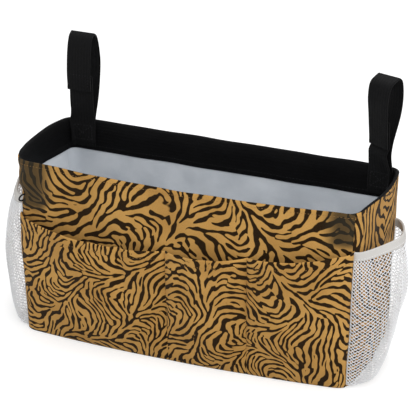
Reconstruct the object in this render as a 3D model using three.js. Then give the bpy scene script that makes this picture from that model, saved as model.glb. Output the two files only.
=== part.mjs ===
// Bedside caddy: a soft box with stiffened walls, open at the top. It hangs from a rail by two webbing loops.
// Three flat pockets lie on its front, and a net pocket bulges from each end.
// Millimetres, +Z up, front towards -Y, origin in the middle of the underside.
import * as THREE from "three";
import { mergeVertices } from "three/addons/utils/BufferGeometryUtils.js";

// Box, measured on the outer cloth
const baseWidth = 338;
const rimFlare = 12;
const rimWidth = baseWidth + rimFlare;
const boxDepth = 120;
const boxHeight = 180;
const frontCorner = 14;
const backCorner = 12;
const frontSeamShare = 0.5;
const baseFrontBow = 9;
const rimFrontBow = 13;
const frontBelly = 3;
const baseSideBow = 2;
const rimSideBow = 8;

// Layers of a wall, and the space between pieces that touch
const clothThickness = 1;
const boardThickness = 2;
const liningThickness = 0.8;
const bandThickness = 1.2;
const clearance = 0.3;
const bandHeight = 30;
const rimTurn = 3;

// Front pockets: the hem hangs lower in the middle and ends higher on the right
const pocketCloth = 1;
const hemDropLeft = 57;
const hemDropRight = 40;
const hemSag = 14;
const dividerShares = [0.47, 0.71];
const leftPocketBulge = 16;
const middlePocketBulge = 13;
const penPocketBulge = 13;
const pocketRoundness = 0.6;

// Net pockets on the two ends: each bag hangs fuller at its front than at its back
const netThickness = 0.8;
const netBulge = 29;
const netFoot = 3;
const netDropFront = 40;
const netDropBack = 46;
const netInset = 2;
const netHemHeight = 8;
const netHemThickness = 0.8;
const netRoundness = 0.6;
const netFrontOutShares = [0, 0.7, 1, 1.25, 1.2, 0.8, 0.3];
const netBackOutShares = [0, 0.05, 0.2, 0.55, 0.8, 0.85, 0.65];
const netRiseShares = [0, 0.005, 0.06, 0.28, 0.55, 0.8, 1];

// Webbing loops: the rear leg and crown are one piece, which the flap closes onto a short tab.
// The right loop is sewn round the rear corner, which turns it towards the middle of the box.
const strapWidth = 25.4;
const strapThickness = 1.6;
const loopHeight = 93;
const leftStrapInset = 19;
const leftLoopGap = 25;
const leftFlapFoot = 35;
const rightStrapInset = 17;
const rightStrapAhead = 2.2;
const rightTurnShare = 0.045;
const rightLoopGap = 20;
const rightLoopBack = 3;
const rightFlapFoot = 24;
const tabTop = 50;
const tabRise = 1.5;
const patchThickness = 1;
const patchMargin = 1.5;
const archOutShares = [0.6, 0.93, 1];
const archRiseShares = [0.95, 0.8, 0.6];
const rearLegOutShares = [0.06, 0.66];
const rearLegRiseShares = [0.07, 0.3];
const tabBendShare = 0.36;
const tabBendOutShare = 0.82;
const tabStraightShare = 0.62;

// Small cord loop in the left front seam
const cordThickness = 1.6;
const cordLoopReach = 5.5;
const cordLoopSpan = 6;
const cordLoopDrop = 41;
const cordLoopShare = 0.006;

// Fineness of the curved faces
const cornerSteps = 3;
const seamSteps = 2;
const bowSteps = 16;
const sideSteps = 10;
const wallRows = 5;
const pocketSteps = 9;
const pocketRows = 7;
const netRows = 10;
const strapSteps = 10;
const capSteps = 4;
const cordSides = 8;
const cordSteps = 10;

// Depth of each layer's outer and inner face behind the outer cloth's face
const boardNear = clothThickness + clearance;
const boardFar = boardNear + boardThickness;
const liningNear = boardFar + clearance;
const liningFar = liningNear + liningThickness;
const bandNear = liningFar + clearance;
const bandFar = bandNear + bandThickness;

// Heights of the three floor layers
const baseBoardFoot = clothThickness + clearance;
const liningFloorFoot = baseBoardFoot + boardThickness + clearance;
const liningWallFoot = liningFloorFoot + liningThickness + clearance;

function fabric(colour, roughness = 0.9) {
  return new THREE.MeshStandardMaterial({ color: colour, roughness, metalness: 0 });
}
const stripedPrint = fabric(0xb88d55);
const greyLining = fabric(0xa6a9ac);
const blackWebbing = fabric(0x161616);
const whiteNet = fabric(0xd9d9d9);
const whiteTape = fabric(0xdad7d5);
const hookTape = fabric(0x1c1c1c);
const whiteBoard = fabric(0xe4e2dc, 0.6);

// Evenly spaced shares from first to last
function steps(first, last, count) {
  return Array.from({ length: count + 1 }, (_, i) => THREE.MathUtils.lerp(first, last, i / count));
}

// Joins runs of shares that meet end to end
function run(...parts) {
  return parts.flatMap((part, i) => (i === 0 ? part : part.slice(1)));
}

// The point at a share of a quadratic curve, and the control points of its two parts
function divide(start, turn, end, share) {
  const near = start.clone().lerp(turn, share);
  const far = turn.clone().lerp(end, share);
  const middle = near.clone().lerp(far, share);
  return { near, middle, far };
}

// The box outline seen from above at a height: four runs, anticlockwise, that share tangents at the seams.
// The front and the sides are parabolas, which a quadratic curve draws exactly, and so are the corners.
// A seam divides each front corner between the front and the side.
function planRuns(height) {
  const share = height / boxHeight;
  const halfWidth = THREE.MathUtils.lerp(baseWidth, rimWidth, share) / 2;
  const halfDepth = boxDepth / 2;
  const leanBow = THREE.MathUtils.lerp(baseFrontBow, rimFrontBow, share);
  const frontBow = leanBow + frontBelly * Math.sin(Math.PI * share);
  const sideBow = THREE.MathUtils.lerp(baseSideBow, rimSideBow, share);
  const frontX = halfWidth - frontCorner;
  const frontY = -halfDepth - frontBow * (1 - (frontX / halfWidth) ** 2);
  const frontSlope = (2 * frontBow * frontX) / halfWidth ** 2;
  const sidePoint = (y) => new THREE.Vector2(halfWidth + sideBow * (1 - (y / halfDepth) ** 2), y);
  const sideSlope = (y) => (-2 * sideBow * y) / halfDepth ** 2;
  const cornerEnd = sidePoint(frontCorner - halfDepth);
  const backSeam = sidePoint(halfDepth - backCorner);
  const frontLean = sideSlope(cornerEnd.y);
  const gap = frontY - frontSlope * frontX - cornerEnd.y;
  const cornerX = (cornerEnd.x + frontLean * gap) / (1 - frontLean * frontSlope);
  const cornerY = frontY + frontSlope * (cornerX - frontX);
  const backLean = sideSlope(backSeam.y);
  const backCornerX = backSeam.x + backLean * (halfDepth - backSeam.y);
  const backX = halfWidth - backCorner;
  const middleY = (cornerEnd.y + backSeam.y) / 2;
  const middleX = cornerEnd.x + frontLean * (middleY - cornerEnd.y);
  const cornerTurn = new THREE.Vector2(cornerX, cornerY);
  const cornerStart = new THREE.Vector2(frontX, frontY);
  const { near, middle: seam, far } = divide(cornerStart, cornerTurn, cornerEnd, frontSeamShare);
  const front = new THREE.Path()
    .moveTo(-seam.x, seam.y)
    .quadraticCurveTo(-near.x, near.y, -frontX, frontY)
    .quadraticCurveTo(0, frontY - frontSlope * frontX, frontX, frontY)
    .quadraticCurveTo(near.x, near.y, seam.x, seam.y);
  const right = new THREE.Path()
    .moveTo(seam.x, seam.y)
    .quadraticCurveTo(far.x, far.y, cornerEnd.x, cornerEnd.y)
    .quadraticCurveTo(middleX, middleY, backSeam.x, backSeam.y);
  const back = new THREE.Path()
    .moveTo(backSeam.x, backSeam.y)
    .quadraticCurveTo(backCornerX, halfDepth, backX, halfDepth)
    .lineTo(-backX, halfDepth)
    .quadraticCurveTo(-backCornerX, halfDepth, -backSeam.x, backSeam.y);
  const left = new THREE.Path()
    .moveTo(-backSeam.x, backSeam.y)
    .quadraticCurveTo(-middleX, middleY, -cornerEnd.x, cornerEnd.y)
    .quadraticCurveTo(-far.x, far.y, -seam.x, seam.y);
  return { front, right, back, left };
}

const plans = new Map();
function planAt(height) {
  if (!plans.has(height)) plans.set(height, planRuns(height));
  return plans.get(height);
}

// Lengths along each side, measured at the rim, to where each of its curves ends
const curveLengths = {};
for (const [side, path] of Object.entries(planAt(boxHeight))) {
  curveLengths[side] = [0, ...path.getCurveLengths()];
}

// The same ends as shares of the side
function curveEnds(side) {
  return curveLengths[side].map((length) => length / curveLengths[side].at(-1));
}

// The curve that a share along a side falls on, and how far along that curve it is
function locate(side, along, height) {
  const ends = curveEnds(side);
  const last = ends.length - 2;
  const i = Math.min(ends.filter((end) => end <= along).length - 1, last);
  const share = (along - ends[i]) / (ends[i + 1] - ends[i]);
  return [planAt(height)[side].curves[i], share];
}

// A point on a wall: side of the box, share along it, height, and distance out from the outer cloth's face
function wallPoint(side, along, height, out) {
  const [curve, share] = locate(side, along, height);
  const point = curve.getPoint(share);
  const tangent = curve.getTangent(share);
  return new THREE.Vector3(point.x + tangent.y * out, point.y - tangent.x * out, height);
}

// Shares along each side that the facets follow, fine round the corners and an inset short of the seams
const curveSteps = {
  front: [seamSteps, bowSteps, seamSteps],
  right: [seamSteps, sideSteps],
  back: [cornerSteps, 1, cornerSteps],
  left: [sideSteps, seamSteps],
};
function insetStops(side, inset) {
  const ends = curveEnds(side);
  ends[0] = inset / curveLengths[side].at(-1);
  ends[ends.length - 1] = 1 - ends[0];
  return run(...curveSteps[side].map((count, i) => steps(ends[i], ends[i + 1], count)));
}
const stops = {};
for (const side of Object.keys(curveSteps)) stops[side] = insetStops(side, clearance / 2);

// Merges the corners that neighbouring faces share, so that the mesh is closed
function closed(geometry) {
  geometry.deleteAttribute("normal");
  geometry.deleteAttribute("uv");
  const merged = mergeVertices(geometry);
  merged.computeVertexNormals();
  return merged;
}

// Turns the diagonals of the sheet's inner face, so that the layers of a wall crease along the same lines
function matchDiagonals(geometry) {
  const inner = geometry.groups[5];
  const index = geometry.index.array;
  for (let start = inner.start; start < inner.start + inner.count; start += 6) {
    const [a, b, d, , c] = index.slice(start, start + 6);
    index.set([a, b, c, a, c, d], start);
  }
}

// A closed sheet on a grid of shares: place(along, up, layer) gives a corner, layer 0 inside and 1 outside
function sheet(alongStops, upStops, place) {
  const columns = alongStops.length - 1;
  const levels = upStops.length - 1;
  const geometry = new THREE.BoxGeometry(1, 1, 1, columns, levels, 1);
  matchDiagonals(geometry);
  const corner = geometry.attributes.position;
  for (let i = 0; i < corner.count; i += 1) {
    const along = alongStops[Math.round((corner.getX(i) + 1 / 2) * columns)];
    const up = upStops[Math.round((corner.getY(i) + 1 / 2) * levels)];
    const point = place(along, up, corner.getZ(i) + 1 / 2);
    corner.setXYZ(i, point.x, point.y, point.z);
  }
  return closed(geometry);
}

// One layer of one wall, between two depths behind the outer face and two heights
function wallLayer(side, near, far, foot, top) {
  return sheet(stops[side], steps(0, 1, wallRows), (along, up, layer) =>
    wallPoint(side, along, THREE.MathUtils.lerp(foot, top, up), THREE.MathUtils.lerp(-far, -near, layer)),
  );
}

// The whole outline at a height, a given depth behind the outer face
function outline(height, depth) {
  const sides = ["front", "right", "back", "left"];
  return sides.flatMap((side) => stops[side].map((along) => wallPoint(side, along, height, -depth)));
}

// A flat floor layer that fills the outline
function floorLayer(depth, foot, thickness) {
  const points = outline(foot, depth).map((point) => new THREE.Vector2(point.x, point.y));
  const shape = new THREE.Shape(points);
  const geometry = new THREE.ExtrudeGeometry(shape, { depth: thickness, bevelEnabled: false });
  geometry.translate(0, 0, foot);
  return closed(geometry);
}

// The black facing: one closed ring of tape, four corners to its section, carried round the outline
function rimBand() {
  const section = [
    { depth: bandNear, height: boxHeight - bandHeight },
    { depth: bandNear, height: boxHeight },
    { depth: bandFar, height: boxHeight },
    { depth: bandFar, height: boxHeight - bandHeight },
  ];
  const rings = section.map(({ depth, height }) => outline(height, depth));
  const count = rings[0].length;
  const geometry = new THREE.TorusGeometry(1, 1, section.length, count);
  const corner = geometry.attributes.position;
  for (let i = 0; i < corner.count; i += 1) {
    const ring = rings[Math.floor(i / (count + 1)) % section.length];
    const point = ring[(i % (count + 1)) % count];
    corner.setXYZ(i, point.x, point.y, point.z);
  }
  return closed(geometry);
}

// Half a sine wave: 0 at both ends and 1 in the middle
function arc(share) {
  return Math.sin(Math.PI * THREE.MathUtils.clamp(share, 0, 1));
}

// Height of the pockets' shared hem at a share of the front
function pocketHem(along) {
  const drop = THREE.MathUtils.lerp(hemDropLeft, hemDropRight, along);
  return boxHeight - drop - hemSag * 4 * along * (1 - along);
}

// Shares that a front pocket's facets follow, with the wall's own round a corner
function pocketStops(from, to) {
  const [, cornerShare] = curveEnds("front");
  const flatFrom = Math.max(from, cornerShare);
  const flatTo = Math.min(to, 1 - cornerShare);
  return run(
    from < flatFrom ? steps(from, flatFrom, seamSteps) : [from],
    steps(flatFrom, flatTo, pocketSteps),
    to > flatTo ? steps(flatTo, to, seamSteps) : [to],
  );
}

// A front pocket: sewn down at its foot and both sides, and standing off the front in between
function frontPocket(first, last, bulge) {
  const from = first + stops.front[0];
  const to = last - stops.front[0];
  return sheet(pocketStops(from, to), steps(0, 1, pocketRows), (along, up, layer) => {
    const across = arc((along - from) / (to - from));
    const rise = Math.sin((Math.PI / 2) * up);
    const out = clearance + bulge * (across * rise) ** pocketRoundness;
    return wallPoint("front", along, up * pocketHem(along), out + layer * pocketCloth);
  });
}

// The net bag's surface. Its section is drawn as shares of its bulge and its height, and changes towards
// the back.
const netStops = { left: insetStops("left", netInset), right: insetStops("right", netInset) };
const [netFront, netBack] = [netFrontOutShares, netBackOutShares].map(
  (outShares) => new THREE.SplineCurve(outShares.map((out, i) => new THREE.Vector2(out, netRiseShares[i]))),
);
function netPoint(side, along, up) {
  const fromFront = side === "right" ? along : 1 - along;
  const hem = boxHeight - THREE.MathUtils.lerp(netDropFront, netDropBack, fromFront);
  const { x: outShare, y: riseShare } = netFront.getPoint(up).lerp(netBack.getPoint(up), fromFront);
  const height = THREE.MathUtils.lerp(netFoot, hem, riseShare);
  const [first] = netStops[side];
  const swell = arc((along - first) / (1 - 2 * first)) ** netRoundness;
  return wallPoint(side, along, height, clearance + netBulge * outShare * swell);
}

// The net surface moved out along its own normal
function netOffset(side, along, up, out) {
  const nudge = 1 / 1000;
  const across = netPoint(side, along + nudge, up).sub(netPoint(side, along - nudge, up));
  const higher = netPoint(side, along, Math.min(up + nudge, 1));
  const lower = netPoint(side, along, Math.max(up - nudge, 0));
  const normal = across.cross(higher.sub(lower)).normalize();
  return netPoint(side, along, up).addScaledVector(normal, out);
}

const netHemShare = 1 - netHemHeight / (boxHeight - netDropFront - netFoot);
function netPocket(side) {
  const upStops = [...steps(0, netHemShare, netRows), 1];
  return sheet(netStops[side], upStops, (along, up, layer) =>
    netOffset(side, along, up, layer * netThickness),
  );
}

// The tape along the net's mouth, outside the net
function netHem(side) {
  const out = netThickness + clearance;
  return sheet(netStops[side], [netHemShare, 1], (along, up, layer) =>
    netOffset(side, along, up, out + layer * netHemThickness),
  );
}

// A webbing piece: a centreline seen from the end of the box, x forwards and y up, with thickness and width.
// A rounded start is half a circle about the first point, where the webbing turns.
function webbing(points, thickness, width, roundStart = false) {
  const line = new THREE.SplineCurve(points);
  const shares = steps(0, 1, points.length > 2 ? strapSteps : 1);
  const side = (share, sign) => {
    const tangent = line.getTangent(share);
    const normal = new THREE.Vector2(-tangent.y, tangent.x);
    return line.getPoint(share).addScaledVector(normal, (sign * thickness) / 2);
  };
  const face = shares.map((share) => side(share, 1));
  const back = shares.map((share) => side(share, -1)).reverse();
  const start = line.getPoint(0);
  const angles = roundStart ? steps(Math.PI, 0, capSteps).slice(1, -1) : [];
  const cap = angles.map((angle) => face[0].clone().rotateAround(start, angle));
  const shape = new THREE.Shape([...face, ...back, ...cap]);
  const geometry = new THREE.ExtrudeGeometry(shape, { depth: width, bevelEnabled: false });
  geometry.translate(0, 0, -width / 2);
  return closed(geometry);
}

// Centrelines of one loop, from the line it turns about at the rim, x forwards and y up
const turnGap = clearance + strapThickness / 2;
const patchLine = (strapThickness + patchThickness) / 2 + clearance;
function loopLines({ gap, back, flapFoot }) {
  const legOut = gap / 2;
  const rearOut = legOut + back;
  const flapLine = legOut - back;
  const tabLine = flapLine - strapThickness - 2 * patchThickness - 3 * clearance;
  const arch = (sign) =>
    archOutShares.map((out, i) => {
      const rise = archRiseShares[i] * loopHeight;
      return new THREE.Vector2(sign * out * legOut - back, rise);
    });
  const rearLeg = rearLegOutShares.map(
    (out, i) => new THREE.Vector2(-out * rearOut, rearLegRiseShares[i] * loopHeight),
  );
  const rear = [
    new THREE.Vector2(0, 0),
    ...rearLeg,
    ...arch(-1).reverse(),
    new THREE.Vector2(-back - turnGap, loopHeight),
  ];
  const flap = [new THREE.Vector2(-back, loopHeight), ...arch(1), new THREE.Vector2(flapLine, flapFoot)];
  const tabStart = strapThickness + clearance;
  const tab = [
    new THREE.Vector2(tabStart, tabRise),
    new THREE.Vector2(THREE.MathUtils.lerp(tabStart, tabLine, tabBendOutShare), tabTop * tabBendShare),
    new THREE.Vector2(tabLine, tabTop * tabStraightShare),
    new THREE.Vector2(tabLine, tabTop),
  ];
  return { rear, flap, tab, loopPatch: tabLine + patchLine, hookPatch: flapLine - patchLine };
}
function patch(middle, flapFoot) {
  const heights = [flapFoot + patchMargin, tabTop - patchMargin];
  const points = heights.map((height) => new THREE.Vector2(middle, height));
  return webbing(points, patchThickness, strapWidth - 2 * patchMargin);
}

// The small cord loop, both ends held in the seam
function cordLoop() {
  const height = boxHeight - cordLoopDrop;
  const root = clearance + cordThickness / 2;
  const ends = [
    wallPoint("front", cordLoopShare, height - cordLoopSpan / 2, root),
    wallPoint("front", cordLoopShare, height, cordLoopReach),
    wallPoint("front", cordLoopShare, height + cordLoopSpan / 2, root),
  ];
  const section = new THREE.Shape();
  section.absarc(0, 0, cordThickness / 2, 0, 2 * Math.PI);
  const geometry = new THREE.ExtrudeGeometry(section, {
    steps: cordSteps,
    curveSegments: cordSides,
    extrudePath: new THREE.CatmullRomCurve3(ends),
  });
  return closed(geometry);
}

const caddy = new THREE.Group();
function add(parent, name, geometry, material) {
  const mesh = new THREE.Mesh(geometry, material);
  mesh.name = name;
  parent.add(mesh);
}

// Walls: outer cloth, board and lining on each side
const wallNames = { front: "front", back: "back", left: "left_side", right: "right_side" };
for (const [side, name] of Object.entries(wallNames)) {
  const cloth = wallLayer(side, 0, clothThickness, 0, boxHeight);
  const board = wallLayer(side, boardNear, boardFar, baseBoardFoot, boxHeight - rimTurn);
  const lining = wallLayer(side, liningNear, liningFar, liningWallFoot, boxHeight);
  add(caddy, `${name}_panel`, cloth, stripedPrint);
  add(caddy, `${name}_stiffener`, board, whiteBoard);
  add(caddy, `${name}_lining`, lining, greyLining);
}
add(caddy, "rim_band", rimBand(), blackWebbing);

// Floor: outer cloth, board and lining
add(caddy, "bottom_panel", floorLayer(boardNear, 0, clothThickness), stripedPrint);
add(caddy, "base_board", floorLayer(liningNear, baseBoardFoot, boardThickness), whiteBoard);
add(caddy, "floor_lining", floorLayer(liningNear, liningFloorFoot, liningThickness), greyLining);

// Front pockets
const [firstDivider, lastDivider] = dividerShares;
add(caddy, "front_pocket_left", frontPocket(0, firstDivider, leftPocketBulge), stripedPrint);
add(caddy, "front_pocket_middle", frontPocket(firstDivider, lastDivider, middlePocketBulge), stripedPrint);
add(caddy, "front_pocket_pens", frontPocket(lastDivider, 1, penPocketBulge), stripedPrint);

// Net pockets
for (const side of ["left", "right"]) {
  add(caddy, `${side}_net_pocket`, netPocket(side), whiteNet);
  add(caddy, `${side}_net_hem`, netHem(side), whiteTape);
}

// Webbing loops, each in a group at the line it turns about, with x forwards, y up and z along that line
const turnDepth = (bandNear + bandFar) / 2;
const loops = {
  left: {
    place: leftStrapInset - rimWidth / 2,
    ahead: 0,
    turn: 0,
    gap: leftLoopGap,
    back: 0,
    flapFoot: leftFlapFoot,
  },
  right: {
    place: rimWidth / 2 - rightStrapInset,
    ahead: rightStrapAhead,
    turn: -rightTurnShare * 2 * Math.PI,
    gap: rightLoopGap,
    back: rightLoopBack,
    flapFoot: rightFlapFoot,
  },
};
const upwards = new THREE.Vector3(0, 0, 1);
for (const [side, spec] of Object.entries(loops)) {
  const loop = new THREE.Group();
  loop.position.set(spec.place, boxDepth / 2 - turnDepth - spec.ahead, boxHeight + turnGap);
  const forwards = new THREE.Vector3(0, -1, 0).applyAxisAngle(upwards, spec.turn);
  const basis = new THREE.Matrix4().makeBasis(forwards, upwards, forwards.clone().cross(upwards));
  loop.quaternion.setFromRotationMatrix(basis);
  const lines = loopLines(spec);
  add(loop, `${side}_strap_loop`, webbing(lines.rear, strapThickness, strapWidth, true), blackWebbing);
  add(loop, `${side}_strap_tab`, webbing(lines.tab, strapThickness, strapWidth), blackWebbing);
  add(loop, `${side}_loop_patch`, patch(lines.loopPatch, spec.flapFoot), hookTape);
  add(loop, `${side}_strap_flap`, webbing(lines.flap, strapThickness, strapWidth, true), blackWebbing);
  add(loop, `${side}_hook_patch`, patch(lines.hookPatch, spec.flapFoot), hookTape);
  caddy.add(loop);
}
add(caddy, "side_cord_loop", cordLoop(), blackWebbing);

export default caddy;
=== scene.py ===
"""Looks of a bedside caddy: a printed cloth box with pockets, net ends and two webbing loops.

Every piece is a surface of two parameters, or threads along lines on such a surface, in metres and in
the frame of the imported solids: X along the box, front towards -Y, Z up, with the origin in the middle
of the underside.
"""

from __future__ import annotations

import logging
import math
from dataclasses import dataclass, field
from enum import Enum
from functools import cached_property, partial
from typing import Callable, Sequence

import bpy
import numpy as np
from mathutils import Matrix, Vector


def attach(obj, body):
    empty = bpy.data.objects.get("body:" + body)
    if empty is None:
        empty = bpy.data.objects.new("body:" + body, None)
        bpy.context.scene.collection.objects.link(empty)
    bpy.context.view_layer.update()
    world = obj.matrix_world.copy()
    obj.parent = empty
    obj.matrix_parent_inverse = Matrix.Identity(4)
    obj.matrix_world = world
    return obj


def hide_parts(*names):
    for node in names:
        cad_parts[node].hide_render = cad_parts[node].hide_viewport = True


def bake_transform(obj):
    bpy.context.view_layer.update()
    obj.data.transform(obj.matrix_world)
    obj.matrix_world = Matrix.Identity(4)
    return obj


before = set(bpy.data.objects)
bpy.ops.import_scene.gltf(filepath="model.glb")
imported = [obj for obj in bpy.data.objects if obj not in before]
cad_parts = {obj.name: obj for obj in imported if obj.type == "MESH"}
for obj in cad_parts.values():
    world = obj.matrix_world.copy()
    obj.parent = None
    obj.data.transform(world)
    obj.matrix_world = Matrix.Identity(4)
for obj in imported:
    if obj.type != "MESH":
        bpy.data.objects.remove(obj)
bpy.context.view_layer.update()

log = logging.getLogger("caddy")
Array = np.ndarray
Place = Callable[[Array, Array], Array]
Row = tuple[Array, Array]
Curve = tuple[Array, Array, Array]
Line = Sequence[tuple[float, float]]
Colour = tuple[float, float, float, float]
Object = bpy.types.Object
Material = bpy.types.Material
Socket = bpy.types.NodeSocket

# The loops turn about a line this far inside the back face and this far above the rim
PIVOT_DEPTH = 0.0053
PIVOT_RISE = 0.0011

# Where the two rows of stitches part the front pockets, as shares of the front's length
DIVIDER_SHARES = (0.47, 0.71)

# Neighbouring walls and pockets each stop this far short of their seam
SEAM_GAP = 0.00015

# Faces that meet at more than this angle are shaded as an edge
SHARP_ANGLE = math.radians(50.0)

# Turns a place in the right half of the outline into its mirror image in the left half
MIRROR = np.array([-1.0, 1.0])

UP = np.array([0.0, 0.0, 1.0])
WHITE = (1.0, 1.0, 1.0, 1.0)


class Side(Enum):
    """The four walls, in the order in which the outline runs round them."""

    FRONT = "front"
    RIGHT = "right_side"
    BACK = "back"
    LEFT = "left_side"


class End(Enum):
    """The two ends of the box, each with the wall there."""

    LEFT = Side.LEFT
    RIGHT = Side.RIGHT

    @property
    def word(self) -> str:
        """The end's name in piece and node names."""
        return self.name.lower()


# Arrays


def smoothstep(value: Array, low: float, high: float) -> Array:
    """Rises from 0 at low to 1 at high, level at both: s squared times 3 less 2 s, for the share s."""
    share = np.clip((value - low) / (high - low), 0.0, 1.0)
    return share * share * (3.0 - 2.0 * share)


def unit(vectors: Array) -> Array:
    """The vectors, each divided by its length."""
    return vectors / np.maximum(np.linalg.norm(vectors, axis=-1, keepdims=True), 1e-12)


def bell(value: Array, centre: float, spread: float) -> Array:
    """A smooth hump of height 1: e to the power of less the square of the distance in spreads."""
    return np.exp(-(((value - centre) / spread) ** 2))


def crossed_waves(a: Array, b: Array, first: Sequence[float], second: Sequence[float]) -> Array:
    """Two slanted sine waves multiplied.

    Args:
        a: the surface's first parameter.
        b: its second parameter.
        first: how fast the first wave's phase grows with each parameter, and its phase at zero.
        second: the same for the second wave.

    Returns:
        The product, -1 to 1.
    """
    phases = [wave[0] * a + wave[1] * b + wave[2] for wave in (first, second)]
    return np.sin(phases[0]) * np.sin(phases[1])


def quadratic(start: Array, bend: Array, end: Array, share: Array) -> Array:
    """A quadratic curve: its points weighted by (1 - s) squared, 2 s (1 - s) and s squared."""
    return (1.0 - share) ** 2 * start + 2.0 * (1.0 - share) * share * bend + share**2 * end


def curve_through(points: Sequence[tuple[float, ...]], share: Array) -> Array:
    """A uniform Catmull-Rom curve, the cubic through each pair of points that heads for their neighbours.

    Args:
        points: the points it runs through.
        share: how far along, 0 to 1, an array of any shape.

    Returns:
        The places, with the points' coordinates on the last axis.
    """
    known = np.asarray(points, float)
    last = len(known) - 1
    position = np.clip(share, 0.0, 1.0) * last
    start = np.minimum(position.astype(int), last - 1)
    t = (position - start)[..., None]
    before, near = known[np.maximum(start - 1, 0)], known[start]
    far, after = known[start + 1], known[np.minimum(start + 2, last)]
    slope_near, slope_far = (far - before) / 2.0, (after - near) / 2.0
    return (
        (2.0 * near - 2.0 * far + slope_near + slope_far) * t**3
        + (3.0 * far - 3.0 * near - 2.0 * slope_near - slope_far) * t**2
        + slope_near * t
        + near
    )


def lengths_along(points: Array) -> Array:
    """Running length along the first axis of an array of points."""
    steps = np.linalg.norm(np.diff(points, axis=0), axis=-1)
    return np.concatenate([[0.0], np.cumsum(steps)])


def grid_normals(points: Array) -> Array:
    """Unit normals of a grid of points: its first direction crossed with its second."""
    return unit(np.cross(np.gradient(points, axis=0), np.gradient(points, axis=1)))


def normals_of(place: Place, a: Array, b: Array, nudges: tuple[float, float]) -> Array:
    """Unit normals of a surface at single places: its first direction crossed with its second.

    Args:
        place: the surface.
        a: its first parameter.
        b: its second parameter.
        nudges: the small steps of both parameters that give the directions.

    Returns:
        The normals, one for each place.
    """
    across = place(a + nudges[0], b) - place(a - nudges[0], b)
    lift = place(a, b + nudges[1]) - place(a, b - nudges[1])
    return unit(np.cross(across, lift))


# Meshes


def mesh_of(name: str, corners: Array, groups: list[Array], uv: Array, marks: dict[str, Array]) -> Object:
    """Puts arrays into a mesh.

    Args:
        name: the piece's name.
        corners: the vertices, one row each.
        groups: faces, one array for each number of corners.
        uv: the UV of every face corner, in the order of the groups.
        marks: named shares, one for each vertex, that materials read.

    Returns:
        The object, in the scene.
    """
    mesh = bpy.data.meshes.new(name)
    loops = np.concatenate([group.ravel() for group in groups]).astype(np.int32)
    sizes = np.concatenate([np.full(len(group), group.shape[1]) for group in groups])
    starts = np.concatenate([[0], np.cumsum(sizes)[:-1]]).astype(np.int32)
    mesh.vertices.add(len(corners))
    mesh.vertices.foreach_set("co", corners.astype(np.float32).ravel())
    mesh.loops.add(len(loops))
    mesh.loops.foreach_set("vertex_index", loops)
    mesh.polygons.add(len(sizes))
    mesh.polygons.foreach_set("loop_start", starts)
    mesh.uv_layers.new(name="UVMap").uv.foreach_set("vector", uv.astype(np.float32).ravel())
    for mark, values in marks.items():
        layer = mesh.attributes.new(mark, "FLOAT", "POINT")
        layer.data.foreach_set("value", values.astype(np.float32).ravel())
    mesh.update(calc_edges=True)
    mesh.polygons.foreach_set("use_smooth", np.ones(len(sizes), bool))
    mesh.set_sharp_from_angle(angle=SHARP_ANGLE)
    piece = bpy.data.objects.new(name, mesh)
    bpy.context.scene.collection.objects.link(piece)
    return piece


@dataclass
class Cloth:
    """A sheet with thickness and rounded edges: a middle surface offset both ways along its normal.

    The section at each step of the first parameter runs up the outer face, round half a circle at the
    far edge, down the inner face and round half a circle at the near edge.
    """

    name: str
    place: Place
    a_stops: Array
    b_stops: Array
    thickness: float | Place
    uv_origin: tuple[float, float] = (0.0, 0.0)
    closed: bool = False
    marks: dict[str, Place] = field(default_factory=dict)
    edge_steps: int = 4

    def build(self) -> Object:
        """Works out the sections.

        Returns:
            The object.
        """
        a, b = np.meshgrid(self.a_stops, self.b_stops, indexing="ij")
        middle = self.place(a, b)
        normal = grid_normals(middle)
        if self.closed:
            normal[0] = normal[-1] = unit(normal[0] + normal[-1])
        thick = self.thickness(a, b) if callable(self.thickness) else np.full(a.shape, self.thickness)
        half = normal * thick[..., None] / 2.0
        turns = np.linspace(0.0, math.pi, self.edge_steps + 1)[1:-1, None]
        steps = np.arange(len(self.b_stops))
        sections, columns = [], []
        for face, order in ((1.0, steps), (-1.0, steps[::-1])):
            edge, before = order[-1], order[-2]
            heading = unit(middle[:, edge] - middle[:, before])[:, None]
            radius = thick[:, edge, None, None] / 2.0
            out = half[:, edge, None] * face
            sections.append((middle + half * face)[:, order])
            sections.append(middle[:, edge, None] + out * np.cos(turns) + heading * radius * np.sin(turns))
            columns.extend([order, np.full(len(turns), edge)])
        return self.join(np.concatenate(sections, axis=1), np.concatenate(columns), middle, a, b)

    def join(self, corners: Array, columns: Array, middle: Array, a: Array, b: Array) -> Object:
        """Joins the sections into quads, and caps the two ends of an open piece.

        Args:
            corners: sections by corners by coordinates.
            columns: for each corner of a section, the step of the second parameter that it lies on.
            middle: the middle surface.
            a: the first parameter on the grid.
            b: the second parameter on the grid.

        Returns:
            The object.
        """
        count, around = corners.shape[:2]
        kept = count - 1 if self.closed else count
        u = self.uv_origin[0] + lengths_along(middle[:, middle.shape[1] // 2])
        v = self.uv_origin[1] + lengths_along(middle[middle.shape[0] // 2])
        uv = np.stack(np.broadcast_arrays(u[:, None], v[columns][None]), axis=-1).reshape(-1, 2)
        i, j = np.meshgrid(np.arange(count - 1), np.arange(around), indexing="ij")
        ring = [(i, j), (i + 1, j), (i + 1, (j + 1) % around), (i, (j + 1) % around)]
        groups = [np.stack([(p % kept) * around + q for p, q in ring], axis=-1).reshape(-1, 4)]
        seen = [uv[np.stack([p * around + q for p, q in ring], axis=-1).ravel()]]
        if not self.closed:
            first = np.arange(around)
            groups.append(np.stack([first, (count - 1) * around + first[::-1]]))
            seen.append(uv[groups[1].ravel()])
        marks = {name: mark(a, b)[:kept, columns] for name, mark in self.marks.items()}
        return mesh_of(self.name, corners[:kept].reshape(-1, 3), groups, np.concatenate(seen), marks)


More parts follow.
